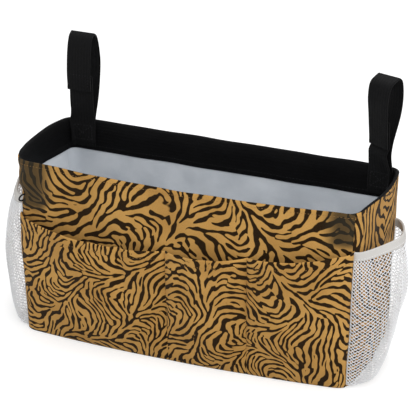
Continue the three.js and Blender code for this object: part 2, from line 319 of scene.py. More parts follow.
def tubes(name: str, lines: Array, normals: Array, radius: Array | float, sides: int) -> Object:
    """Round threads: at each point of each line, a circle across it.

    Args:
        name: the piece's name.
        lines: lines by points by coordinates.
        normals: a direction across the line at each point.
        radius: one for all, or one for each point of a line.
        sides: corners of the circle.

    Returns:
        The object.
    """
    tangent = unit(np.gradient(lines, axis=1))
    side = unit(np.cross(tangent, normals))
    out = np.cross(side, tangent)
    turn = np.linspace(0.0, math.tau, sides, endpoint=False)[:, None]
    reach = np.broadcast_to(radius, lines.shape[1])[None, :, None, None]
    circle = out[:, :, None] * np.cos(turn) + side[:, :, None] * np.sin(turn)
    corners = lines[:, :, None] + circle * reach
    many, count = lines.shape[:2]
    line, i, k = np.meshgrid(np.arange(many), np.arange(count - 1), np.arange(sides), indexing="ij")
    ring = [(i, k), (i, k + 1), (i + 1, k + 1), (i + 1, k)]
    quads = np.stack([(line * count + p) * sides + q % sides for p, q in ring], axis=-1)
    first = np.arange(many)[:, None] * count * sides + np.arange(sides)[None]
    groups = [quads.reshape(-1, 4), first[:, ::-1], first + (count - 1) * sides]
    steps = np.linalg.norm(np.diff(lines, axis=1), axis=-1)
    u = np.concatenate([np.zeros((many, 1)), np.cumsum(steps, axis=1)], axis=1)
    uv = np.stack(np.broadcast_arrays(u[:, :, None], np.arange(sides) / sides), axis=-1).reshape(-1, 2)
    seen = np.concatenate([uv[group.ravel()] for group in groups])
    return mesh_of(name, corners.reshape(-1, 3), groups, seen, {})


@dataclass(frozen=True)
class Stitching:
    """A row of short raised threads along a line on a surface."""

    pitch: float = 0.0034
    length: float = 0.0026
    thread: float = 0.00042
    sides: int = 6
    profile: tuple[float, ...] = (0.35, 0.85, 1.0, 0.85, 0.35)
    sink_share: float = 0.7
    lift_share: float = 0.15

    def row(self, line: Array, normals: Array) -> Row:
        """Cuts a line into stitches, whose ends sink in with the square of the distance from the middle.

        Args:
            line: points on the surface.
            normals: the surface's normals there.

        Returns:
            The stitches' points, and their normals.
        """
        run = lengths_along(line)
        count = max(1, int(run[-1] / self.pitch))
        starts = (np.arange(count) + 0.5) * run[-1] / count
        where = starts[:, None] + np.linspace(-self.length / 2.0, self.length / 2.0, len(self.profile))
        points, up = (
            np.stack([np.interp(where, run, column) for column in values.T], axis=-1)
            for values in (line, normals)
        )
        up = unit(up)
        sink = np.linspace(-1.0, 1.0, len(self.profile)) ** 2 * self.thread * self.sink_share
        return points - up * (sink - self.thread * self.lift_share)[None, :, None], up

    def sew(self, name: str, rows: list[Row]) -> Object:
        """Makes one piece of all stitches along several lines.

        Args:
            name: the piece's name.
            rows: a line and its normals, for each row.

        Returns:
            The object.
        """
        made = [self.row(line, normals) for line, normals in rows]
        lines, normals = (np.concatenate(parts) for parts in zip(*made))
        return tubes(name, lines, normals, np.array(self.profile) * self.thread / 2.0, self.sides)


# Materials


class Nodes:
    """Adds and links nodes in the tree of a material or of the world."""

    def __init__(self, owner: Material | bpy.types.World) -> None:
        """Starts with an empty tree.

        Args:
            owner: the material or world that the tree belongs to.
        """
        owner.use_nodes = True
        self.tree = owner.node_tree
        self.tree.nodes.clear()

    def put(self, node: bpy.types.Node, key: str | int, value: object) -> None:
        """Links a socket, or sets it to a plain value.

        Args:
            node: the node.
            key: the name or number of its input.
            value: another node's output, a plain value, or None to leave the input alone.
        """
        if isinstance(value, Socket):
            self.tree.links.new(value, node.inputs[key])
        elif value is not None:
            node.inputs[key].default_value = value

    def node(self, kind: str, inputs: dict | None = None, **settings: object) -> bpy.types.Node:
        """Adds a node.

        Args:
            kind: its type.
            inputs: values or sockets for its inputs.
            settings: its properties.

        Returns:
            The node.
        """
        node = self.tree.nodes.new(kind)
        for key, value in settings.items():
            setattr(node, key, value)
        for key, value in (inputs or {}).items():
            self.put(node, key, value)
        return node

    def math(self, operation: str, *values: Socket | float) -> Socket:
        """One step of arithmetic."""
        return self.node("ShaderNodeMath", dict(enumerate(values)), operation=operation).outputs[0]

    def seen_share(self) -> Socket:
        """Tells what is seen of the background from the light that it sheds.

        Returns:
            1 where the eye, a mirror or glass sees it, otherwise 0.
        """
        path = self.node("ShaderNodeLightPath").outputs
        mirrored = self.math("MAXIMUM", path["Is Camera Ray"], path["Is Glossy Ray"])
        return self.math("MAXIMUM", mirrored, path["Is Transmission Ray"])


class Shader(Nodes):
    """The nodes of one material, which ends in a Principled shader."""

    def __init__(self, name: str) -> None:
        """Makes the material.

        Args:
            name: its name.
        """
        self.material = bpy.data.materials.new(name)
        super().__init__(self.material)
        self.body = self.node("ShaderNodeBsdfPrincipled")
        self.node("ShaderNodeOutputMaterial", {"Surface": self.body.outputs[0]})

    def uv(self) -> Socket:
        """The piece's own UV, in metres."""
        return self.node("ShaderNodeUVMap").outputs[0]

    def mark(self, name: str) -> Socket:
        """A share that the mesh holds for each vertex."""
        return self.node("ShaderNodeAttribute", attribute_name=name).outputs["Fac"]

    def vector(self, operation: str, a: Socket, b: Socket | tuple) -> Socket:
        """One step of vector arithmetic."""
        step = self.node("ShaderNodeVectorMath", {0: a, 1: b}, operation=operation)
        return step.outputs["Value" if operation == "DOT_PRODUCT" else "Vector"]

    def scaled(self, place: Socket, scale: float) -> Socket:
        """A place times a plain number."""
        step = self.node("ShaderNodeVectorMath", {0: place, "Scale": scale}, operation="SCALE")
        return step.outputs["Vector"]

    def moved(self, place: Socket, x: float, y: float) -> Socket:
        """A place shifted by two plain numbers."""
        return self.vector("ADD", place, (x, y, 0.0))

    def noise(self, place: Socket, size: float, detail: float = 1.0, output: str = "Fac") -> Socket:
        """Noise whose lumps are about size metres across."""
        inputs = {"Vector": place, "Scale": 1.0 / size, "Detail": detail}
        return self.node("ShaderNodeTexNoise", inputs).outputs[output]

    def wander(self, place: Socket, reach: float, size: float) -> Socket:
        """Moves a place by smooth noise.

        Args:
            place: the place.
            reach: about how far it moves at most, in metres.
            size: how large the noise's lumps are.

        Returns:
            The moved place.
        """
        away = self.vector("SUBTRACT", self.noise(place, size, detail=0.0, output="Color"), (0.5, 0.5, 0.5))
        flat = self.vector("MULTIPLY", away, (1.0, 1.0, 0.0))
        return self.vector("ADD", place, self.scaled(flat, 2.0 * reach))

    def span(self, value: Socket, low: float, high: float, first: float = 0.0, last: float = 1.0) -> Socket:
        """Maps low to high onto first to last, smoothly and held at both ends."""
        inputs = {"Value": value, "From Min": low, "From Max": high, "To Min": first, "To Max": last}
        return self.node("ShaderNodeMapRange", inputs, interpolation_type="SMOOTHSTEP").outputs[0]

    def mix(
        self,
        share: Socket | float,
        first: Socket | Colour,
        second: Socket | Colour,
        how: str = "MIX",
    ) -> Socket:
        """Mixes two colours."""
        inputs = {0: share, 6: first, 7: second}
        return self.node("ShaderNodeMix", inputs, data_type="RGBA", blend_type=how).outputs[2]

    def ridges(self, place: Socket, along: tuple[float, float], pitch: float) -> Socket:
        """Rounded ridges: half of 1 plus the sine of the distance in turns.

        Args:
            place: the UV.
            along: the direction in which they repeat.
            pitch: the distance after which they repeat.

        Returns:
            Their height, 0 to 1.
        """
        turn = self.vector("DOT_PRODUCT", place, (along[0] / pitch, along[1] / pitch, 0.0))
        wave = self.math("SINE", self.math("MULTIPLY", turn, math.tau))
        return self.math("MULTIPLY_ADD", wave, 0.5, 0.5)

    def weave(self, place: Socket, pitch: float) -> Socket:
        """Threads that cross: ridges one way times ridges the other way."""
        warp, weft = self.ridges(place, (1.0, 0.0), pitch), self.ridges(place, (0.0, 1.0), pitch)
        return self.math("MULTIPLY", warp, weft)

    def bump(self, height: Socket, distance: float, strength: float, under: Socket | None = None) -> Socket:
        """Raises the surface by height times distance metres."""
        inputs = {"Height": height, "Distance": distance, "Strength": strength, "Normal": under}
        return self.node("ShaderNodeBump", inputs).outputs[0]

    def finish(self, colour: Socket, roughness: Socket | float, normal: Socket, sheen: float) -> Material:
        """Sets the Principled shader.

        Args:
            colour: base colour.
            roughness: roughness.
            normal: the bumped normal.
            sheen: how much loose fibre catches the light.

        Returns:
            The material.
        """
        values = {
            "Base Color": colour,
            "Roughness": roughness,
            "Normal": normal,
            "Sheen Weight": sheen,
            "Sheen Roughness": 0.5,
            "Specular IOR Level": 0.08,
        }
        for key, value in values.items():
            self.put(self.body, key, value)
        return self.material


def tint(red: int, green: int, blue: int) -> Colour:
    """A colour as picked on a screen, 0 to 255, as the linear light that nodes use.

    Args:
        red: its red.
        green: its green.
        blue: its blue.

    Returns:
        The colour, by the usual curve: a straight line near black, and a power of 2.4 above it.
    """
    shares = np.array([red, green, blue]) / 255.0
    linear = np.where(shares <= 0.04045, shares / 12.92, ((shares + 0.055) / 1.055) ** 2.4)
    return (*linear.tolist(), 1.0)


@dataclass(frozen=True)
class StripedPrint:
    """Printed woven cloth: dark tapering stripes on ochre.

    The stripes are the crests of a wave whose direction wanders, so that they swirl, fork and end.
    """

    name: str
    growth: float = 1.0
    start: float = 0.0
    stripe_pitch: float = 0.0063
    stripe_share: float = 0.435
    stripe_edge: float = 0.06
    taper: float = 0.55
    taper_size: float = 0.009
    taper_shift: tuple[float, float] = (7.3, 2.9)
    waves_per_cell: float = 2.1
    lean: float = 0.9
    turn: float = 6.0
    turn_size: float = 0.10
    turn_shift: tuple[float, float] = (3.4, 1.7)
    bend: float = 0.009
    bend_size: float = 0.032
    waver: float = 0.0019
    waver_size: float = 0.012
    ground: Colour = tint(194, 149, 82)
    ground_deep: Colour = tint(177, 133, 70)
    cloud_size: float = 0.045
    cloud_span: tuple[float, float] = (0.3, 0.7)
    stripe: Colour = tint(31, 17, 0)
    stripe_worn: Colour = tint(44, 29, 9)
    wear_span: tuple[float, float] = (0.35, 0.75)
    fleck: Colour = tint(236, 236, 236)
    fibre_size: float = 0.0011
    fibre_span: tuple[float, float] = (0.2, 0.8)
    # Painted shade: this dark colour is mixed into the print where the front's upper corners are drawn
    # darker
    painted_shade: Colour = tint(42, 38, 28)
    painted_shade_share: float = 0.86
    thread_pitch: float = 0.00055
    fibre_share: float = 0.8
    thread_relief: float = 0.0002
    thread_strength: float = 0.6
    slack_size: float = 0.03
    slack_relief: float = 0.002
    slack_strength: float = 0.5
    roughness: tuple[float, float] = (0.72, 0.88)
    sheen: float = 0.04

    def stripes(self, nodes: Shader, place: Socket) -> Socket:
        """The share of dark stripe at a place.

        The place is moved by two smooth wanderings, a wide and a narrow one. A wave runs across it in a
        direction that turns slowly over the cloth. Where the wave's phase is nearer to its crest than
        the wandering stripe share, the cloth is dark.

        Args:
            nodes: the material.
            place: a place on the cloth, in metres.

        Returns:
            The share, 0 to 1.
        """
        moved = nodes.wander(nodes.wander(place, self.bend, self.bend_size), self.waver, self.waver_size)
        drift = nodes.noise(nodes.moved(place, *self.turn_shift), self.turn_size, detail=0.0)
        heading = nodes.math("MULTIPLY_ADD", nodes.math("SUBTRACT", drift, 0.5), 2.0 * self.turn, self.lean)
        inputs = {
            "Vector": moved,
            "Scale": 1.0 / (self.waves_per_cell * self.stripe_pitch),
            "Frequency": self.waves_per_cell,
            "Anisotropy": 1.0,
            "Orientation": heading,
        }
        phase = nodes.node("ShaderNodeTexGabor", inputs, gabor_type="2D").outputs["Phase"]
        from_crest = nodes.math("ABSOLUTE", nodes.math("MULTIPLY_ADD", phase, 2.0, -1.0))
        swell = nodes.noise(nodes.moved(place, *self.taper_shift), self.taper_size)
        share = nodes.math("MULTIPLY_ADD", swell, 2.0 * self.taper, self.stripe_share - self.taper)
        return nodes.span(nodes.math("SUBTRACT", share, from_crest), -self.stripe_edge, self.stripe_edge)

    def material(self) -> Material:
        """Makes the material: print, fibre variation, weave and painted shade that darkens the front's upper
        corners.

        Returns:
            The material.
        """
        nodes = Shader(self.name)
        uv = nodes.uv()
        place = nodes.scaled(nodes.moved(uv, self.start, self.start), 1.0 / self.growth)
        fibre = nodes.noise(uv, self.fibre_size, detail=2.0)
        cloud = nodes.noise(uv, self.cloud_size, detail=3.0)
        ground = nodes.mix(nodes.span(cloud, *self.cloud_span), self.ground, self.ground_deep)
        stripe = nodes.mix(nodes.span(fibre, *self.wear_span), self.stripe, self.stripe_worn)
        colour = nodes.mix(self.stripes(nodes, place), ground, stripe)
        flecks = nodes.mix(nodes.span(fibre, *self.fibre_span), self.fleck, WHITE)
        colour = nodes.mix(1.0, colour, flecks, "MULTIPLY")
        # Painted shade: a mesh mark darkens the front's upper corners towards a dark colour
        painted_shade = nodes.math("MULTIPLY", nodes.mark("painted_corner_shade"), self.painted_shade_share)
        colour = nodes.mix(painted_shade, colour, self.painted_shade)
        weave = nodes.math("MULTIPLY_ADD", fibre, self.fibre_share, nodes.weave(uv, self.thread_pitch))
        slack = nodes.noise(uv, self.slack_size, detail=2.0)
        soft = nodes.bump(slack, self.slack_relief, self.slack_strength)
        normal = nodes.bump(weave, self.thread_relief, self.thread_strength, soft)
        roughness = nodes.span(fibre, *self.fibre_span, *self.roughness)
        return nodes.finish(colour, roughness, normal, self.sheen)


@dataclass(frozen=True)
class PlainWeave:
    """Plain woven cloth in one colour, with crossed threads and faint creases."""

    name: str
    colour: Colour
    deep: Colour
    thread_pitch: float = 0.0006
    crease: float = 0.0016
    sheen: float = 0.15
    crease_strength: float = 0.7
    fibre_size: float = 0.0009
    fibre_span: tuple[float, float] = (0.2, 0.8)
    cloud_size: float = 0.03
    cloud_span: tuple[float, float] = (0.3, 0.7)
    gap_share: float = 0.25
    thread_relief: float = 0.0002
    thread_strength: float = 0.6
    roughness: tuple[float, float] = (0.75, 0.92)

    def material(self) -> Material:
        """Makes the material.

        Returns:
            The material.
        """
        nodes = Shader(self.name)
        uv = nodes.uv()
        fibre = nodes.noise(uv, self.fibre_size, detail=2.0)
        cloud = nodes.noise(uv, self.cloud_size, detail=3.0)
        weave = nodes.weave(uv, self.thread_pitch)
        colour = nodes.mix(nodes.span(cloud, *self.cloud_span), self.colour, self.deep)
        colour = nodes.mix(nodes.math("MULTIPLY", weave, self.gap_share), colour, self.deep)
        soft = nodes.bump(cloud, self.crease, self.crease_strength)
        height = nodes.math("ADD", weave, fibre)
        normal = nodes.bump(height, self.thread_relief, self.thread_strength, soft)
        roughness = nodes.span(fibre, *self.fibre_span, *self.roughness)
        return nodes.finish(colour, roughness, normal, self.sheen)


@dataclass(frozen=True)
class RibbedTape:
    """Woven tape: rows of ribs that lean one way and then the other, in columns along its length."""

    name: str
    colour: Colour
    worn: Colour
    column: float = 0.0032
    rib: float = 0.0011
    sheen: float = 0.1
    lean: float = 0.45
    column_span: tuple[float, float] = (0.45, 0.55)
    column_share: float = 0.3
    crest_span: tuple[float, float] = (0.5, 1.0)
    fibre_size: float = 0.0007
    fibre_span: tuple[float, float] = (0.2, 0.8)
    wear_span: tuple[float, float] = (0.3, 0.8)
    fibre_share: float = 0.5
    relief: float = 0.0003
    strength: float = 0.8
    slack_size: float = 0.02
    slack_relief: float = 0.001
    slack_strength: float = 0.5
    roughness: tuple[float, float] = (0.55, 0.75)

    def material(self) -> Material:
        """Makes the material.

        Returns:
            The material.
        """
        nodes = Shader(self.name)
        uv = nodes.uv()
        fall = nodes.ridges(uv, (1.0, self.lean), self.rib)
        rise = nodes.ridges(uv, (1.0, -self.lean), self.rib)
        column = nodes.ridges(uv, (0.0, 1.0), self.column)
        which = nodes.span(column, *self.column_span)
        rib = nodes.math("MULTIPLY_ADD", which, nodes.math("SUBTRACT", rise, fall), fall)
        fibre = nodes.noise(uv, self.fibre_size, detail=2.0)
        crest = nodes.span(rib, *self.crest_span)
        wear = nodes.math("MULTIPLY", crest, nodes.span(fibre, *self.wear_span))
        colour = nodes.mix(wear, self.colour, self.worn)
        height = nodes.math("MULTIPLY_ADD", column, self.column_share, rib)
        height = nodes.math("MULTIPLY_ADD", fibre, self.fibre_share, height)
        soft = nodes.bump(nodes.noise(uv, self.slack_size), self.slack_relief, self.slack_strength)
        normal = nodes.bump(height, self.relief, self.strength, soft)
        roughness = nodes.span(fibre, *self.fibre_span, *self.roughness)
        return nodes.finish(colour, roughness, normal, self.sheen)


@dataclass(frozen=True)
class Thread:
    """Twisted or braided thread: fine ridges wound round it."""

    name: str
    colour: Colour
    deep: Colour
    twist: float = 0.0012
    relief: float = 0.0001
    sheen: float = 0.1
    strength: float = 0.5
    fibre_size: float = 0.0006
    roughness: float = 0.7

    def material(self) -> Material:
        """Makes the material.

        Returns:
            The material.
        """
        nodes = Shader(self.name)
        uv = nodes.uv()
        wound = nodes.ridges(uv, (1.0, self.twist), self.twist)
        fibre = nodes.noise(uv, self.fibre_size)
        colour = nodes.mix(nodes.math("MULTIPLY", wound, fibre), self.colour, self.deep)
        normal = nodes.bump(nodes.math("ADD", wound, fibre), self.relief, self.strength)
        return nodes.finish(colour, self.roughness, normal, self.sheen)


@dataclass(frozen=True)
class PressedBoard:
    """Plain board with a fibrous face."""

    name: str
    colour: Colour
    deep: Colour
    fibre_size: float = 0.002
    relief: float = 0.0002
    strength: float = 0.5
    roughness: float = 0.8

    def material(self) -> Material:
        """Makes the material.

        Returns:
            The material.
        """
        nodes = Shader(self.name)
        fibre = nodes.noise(nodes.uv(), self.fibre_size, detail=4.0)
        colour = nodes.mix(fibre, self.colour, self.deep)
        normal = nodes.bump(fibre, self.relief, self.strength)
        return nodes.finish(colour, self.roughness, normal, sheen=0.0)


class Finishes:
    """The caddy's materials, made once."""

    def __init__(self) -> None:
        """Makes every material."""
        self.pocket_print = StripedPrint("pocket_print").material()
        self.wall_print = StripedPrint("wall_print", growth=1.3, start=0.9).material()
        self.lining = PlainWeave("grey_lining", tint(202, 206, 211), tint(188, 193, 199)).material()
        pile = {"thread_pitch": 0.0009, "crease": 0.001, "sheen": 0.1}
        self.pile = PlainWeave("black_pile", tint(11, 11, 12), tint(7, 7, 8), **pile).material()
        self.webbing = RibbedTape("black_webbing", tint(6, 6, 7), tint(16, 16, 17), sheen=0.02).material()
        black, worn = tint(3, 3, 4), tint(8, 8, 9)
        self.facing = RibbedTape("black_facing", black, worn, rib=0.0009, sheen=0.0).material()
        white, worn = tint(194, 191, 187), tint(206, 205, 203)
        self.tape = RibbedTape("white_tape", white, worn, column=0.0021, rib=0.001).material()
        self.net = Thread("white_net", tint(236, 237, 239), tint(222, 224, 227), sheen=0.2).material()
        self.hooks = Thread("black_hooks", tint(20, 20, 22), tint(30, 30, 33)).material()
        braid, deep = tint(18, 18, 19), tint(34, 34, 36)
        self.cord = Thread("black_cord", braid, deep, twist=0.0011, relief=0.0002).material()
        self.board = PressedBoard("stiffener_board", tint(228, 226, 220), tint(205, 202, 194)).material()
        self.ochre_thread = Thread("ochre_thread", tint(150, 112, 62), tint(118, 86, 46)).material()
        self.black_thread = Thread("black_thread", tint(24, 24, 26), tint(38, 38, 40)).material()
        self.white_thread = Thread("white_thread", tint(228, 228, 228), tint(205, 205, 205)).material()


def dress(piece: Object, material: Material, slot: str, body: str | None = "caddy", *nodes: str) -> None:
    """Gives a piece its material, the body that it rides on and the solids that it stands for.

    Args:
        piece: the object.
        material: its material.
        slot: the record's material slot; not used.
        body: the body it rides on, or None to attach it to none.
        nodes: the solids it replaces.
    """
    piece.data.materials.append(material)
    if body:
        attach(piece, body)
    if nodes:
        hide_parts(*nodes)
    log.info("%s: %d faces", piece.name, len(piece.data.polygons))


def seam(place: Place, line: tuple[Array, Array], nudges: tuple[float, float], out: float = 0.0) -> Row:
    """A line on a surface for a row of stitches.

    Args:
        place: the surface.
        line: both parameters along the line.
        nudges: the small steps of both parameters that give the normals.
        out: how far out along the normals the stitches lie.

    Returns:
        The line's points, and the normals there.
    """
    normal = normals_of(place, *line, nudges)
    return place(*line) + normal * out, normal


# The box


@dataclass(frozen=True)
class Dent:
    """A place where the walls sink in: a smooth hollow, or a bulge where its depth is below zero."""

    side: Side
    along: float
    height: float
    depth: float
    spread_along: float
    spread_height: float


@dataclass(frozen=True)
class Ripple:
    """A faint wave round the whole box: its depth, waves, lean for each metre of height, and start."""

    depth: float
    waves: float
    lean: float
    start: float


@dataclass(frozen=True)
class BoxShape:
    """The outer face of the box: an outline of parabolas with rounded corners that grows with height."""

    base_width: float = 0.338
    rim_width: float = 0.350
    depth: float = 0.120
    height: float = 0.180
    front_corner: float = 0.014
    back_corner: float = 0.012
    seam_share: float = 0.5
    base_front_bow: float = 0.009
    rim_front_bow: float = 0.013
    front_belly: float = 0.003
    base_side_bow: float = 0.002
    rim_side_bow: float = 0.008
    calm_height: float = 0.03
    length_steps: int = 65
    ripples: tuple[Ripple, ...] = (Ripple(0.0005, 11.0, 60.0, 0.0), Ripple(0.00035, 17.0, -95.0, 1.0))
    dents: tuple[Dent, ...] = (
        Dent(Side.FRONT, 0.008, 0.143, 0.0036, 0.014, 0.0055),
        Dent(Side.FRONT, 0.03, 0.156, -0.0012, 0.012, 0.0045),
        Dent(Side.FRONT, 0.004, 0.168, 0.0014, 0.01, 0.004),
        Dent(Side.FRONT, 0.055, 0.15, 0.0016, 0.009, 0.02),
        Dent(Side.FRONT, 0.95, 0.158, 0.0034, 0.01, 0.022),
        Dent(Side.FRONT, 0.45, 0.15, 0.0012, 0.03, 0.016),
        Dent(Side.LEFT, 0.5, 0.15, -0.001, 0.03, 0.02),
        Dent(Side.RIGHT, 0.45, 0.16, 0.0012, 0.02, 0.018),
        Dent(Side.BACK, 0.5, 0.1, 0.0014, 0.08, 0.04),
    )

    def runs(self, height: Array) -> dict[Side, list[Curve]]:
        """The control points of each wall's quadratic curves at a height.

        The front and each end are parabolas, y or x being a bow times 1 less the square of the share of
        the half width or depth. Each corner is a curve whose middle point is where the tangents at its
        ends cross. It is worked out for the right half and mirrored.

        Args:
            height: heights, an array of any shape.

        Returns:
            For each wall, its curves as three points each, in the order of the outline.
        """

        def point(x: Array, y: Array) -> Array:
            """Both coordinates on the last axis."""
            return np.stack([x, y], axis=-1)

        def mirrored(curve: Curve) -> Curve:
            """The curve's mirror image in the left half, which runs the other way."""
            return tuple(place * MIRROR for place in reversed(curve))

        share = height / self.height
        half = (self.base_width + (self.rim_width - self.base_width) * share) / 2.0
        deep = np.full_like(half, self.depth / 2.0)
        front_bow = self.base_front_bow + (self.rim_front_bow - self.base_front_bow) * share
        front_bow = front_bow + self.front_belly * np.sin(math.pi * np.clip(share, 0.0, 1.0))
        side_bow = self.base_side_bow + (self.rim_side_bow - self.base_side_bow) * share

        front_x, back_x = half - self.front_corner, half - self.back_corner
        front_y = -deep - front_bow * (1.0 - (front_x / half) ** 2)
        front_slope = 2.0 * front_bow * front_x / half**2
        seam_y, rear_y = self.front_corner - deep, deep - self.back_corner
        seam_x, rear_x = (half + side_bow * (1.0 - (y / deep) ** 2) for y in (seam_y, rear_y))
        seam_lean, rear_lean = (-2.0 * side_bow * y / deep**2 for y in (seam_y, rear_y))
        gap = front_y - front_slope * front_x - seam_y
        corner_x = (seam_x + seam_lean * gap) / (1.0 - seam_lean * front_slope)
        corner_y = front_y + front_slope * (corner_x - front_x)
        middle_y = (seam_y + rear_y) / 2.0

        near, corner, far = point(front_x, front_y), point(corner_x, corner_y), point(seam_x, seam_y)
        first, last = near + (corner - near) * self.seam_share, corner + (far - corner) * self.seam_share
        seam = first + (last - first) * self.seam_share
        bulge = point(np.zeros_like(half), front_y - front_slope * front_x)
        middle, rear = point(seam_x + seam_lean * (middle_y - seam_y), middle_y), point(rear_x, rear_y)
        back_bend, back = point(rear_x + rear_lean * (deep - rear_y), deep), point(back_x, deep)

        front_turn, back_turn = (near, first, seam), (rear, back_bend, back)
        across = (back, point(np.zeros_like(half), deep), back * MIRROR)
        end = [(seam, last, far), (far, middle, rear)]
        return {
            Side.FRONT: [mirrored(front_turn), (near * MIRROR, bulge, near), front_turn],
            Side.RIGHT: end,
            Side.BACK: [back_turn, across, mirrored(back_turn)],
            Side.LEFT: [mirrored(curve) for curve in reversed(end)],
        }

    @cached_property
    def rim_lengths(self) -> dict[Side, list[float]]:
        """The length of each curve of each wall at the rim.

        Returns:
            For each wall, its curves' lengths in the order of the outline.
        """
        share = np.linspace(0.0, 1.0, self.length_steps)[:, None]
        runs = self.runs(np.array(self.height)).items()
        return {side: [lengths_along(quadratic(*curve, share))[-1] for curve in run] for side, run in runs}

    def length(self, side: Side) -> float:
        """The length of a wall at the rim."""
        return sum(self.rim_lengths[side])

    @property
    def whole(self) -> float:
        """The length of the rim."""
        return sum(self.length(side) for side in Side)

    def around(self, side: Side, along: Array | float) -> Array | float:
        """The distance round the rim of a share along a wall, from the left front seam."""
        before = list(Side)[: list(Side).index(side)]
        return sum(self.length(other) for other in before) + along * self.length(side)

    def sink(self, side: Side, along: Array, height: Array) -> Array:
        """How far the walls sink in: the ripples' sine waves, and a bell for each dent.

        Args:
            side: the wall.
            along: share along it.
            height: height above the floor.

        Returns:
            The depth, below zero for a bulge.
        """
        around = self.around(side, along)
        calm = smoothstep(height, 0.0, self.calm_height)
        total = np.zeros(np.broadcast(along, height).shape)
        for ripple in self.ripples:
            phase = around / self.whole * math.tau * ripple.waves + height * ripple.lean + ripple.start
            total = total + ripple.depth * calm * np.sin(phase)
        for dent in self.dents:
            half = self.whole / 2.0
            apart = (around - self.around(dent.side, dent.along) + half) % self.whole - half
            hollow = bell(apart, 0.0, dent.spread_along) * bell(height, dent.height, dent.spread_height)
            total = total + dent.depth * hollow
        return total

    def place(self, side: Side, along: Array, height: Array, out: Array | float = 0.0) -> Array:
        """A point on a wall: on its quadratic curve, then moved out along the curve's normal.

        Args:
            side: the wall.
            along: share along it.
            height: height above the floor.
            out: distance out from the outer face.

        Returns:
            The points.
        """
        along, height, out = np.broadcast_arrays(along, height, out)
        sizes = self.rim_lengths[side]
        ends = np.concatenate([[0.0], np.cumsum(sizes)]) / sum(sizes)
        curve = [np.zeros((*along.shape, 2))] * 3
        share = np.zeros(along.shape)
        for number, points in enumerate(self.runs(height)[side]):
            here = (along >= ends[number]) if number else np.ones(along.shape, bool)
            curve = [np.where(here[..., None], new, old) for new, old in zip(points, curve)]
            share = np.where(here, (along - ends[number]) / (ends[number + 1] - ends[number]), share)
        start, bend, end = curve
        t = share[..., None]
        heading = unit((1.0 - t) * (bend - start) + t * (end - bend))
        normal = np.stack([heading[..., 1], -heading[..., 0]], axis=-1)
        moved = quadratic(*curve, t) + normal * (out - self.sink(side, along, height))[..., None]
        return np.concatenate([moved, height[..., None]], axis=-1)

    def floor(self, a: Array, b: Array, out: float, height: float) -> Array:
        """A point of a flat floor inside the outline.

        It is the blend of the front and back at one share and of both ends at the other, less the blend
        of the four corners, which both hold.

        Args:
            a: share along the front.
            b: share from front to back.
            out: distance out from the outer face, below zero for inside it.
            height: the floor's height.

        Returns:
            The points.
        """
        level = np.array(height)
        shares = {Side.FRONT: a, Side.RIGHT: b, Side.BACK: 1.0 - a, Side.LEFT: 1.0 - b}
        front, right, back, left = (self.place(side, share, level, out) for side, share in shares.items())
        ends = [self.place(side, np.array(0.0), level, out) for side in Side]
        a, b = a[..., None], b[..., None]
        corners = (1.0 - a) * (1.0 - b) * ends[0] + a * (1.0 - b) * ends[1]
        corners = corners + a * b * ends[2] + (1.0 - a) * b * ends[3]
        return (1.0 - b) * front + b * back + (1.0 - a) * left + a * right - corners


def no_painted_shade(along: Array, up: Array) -> Array:
    """The share of painted corner shade, for cloth that has none."""
    return np.zeros(np.broadcast(along, up).shape)


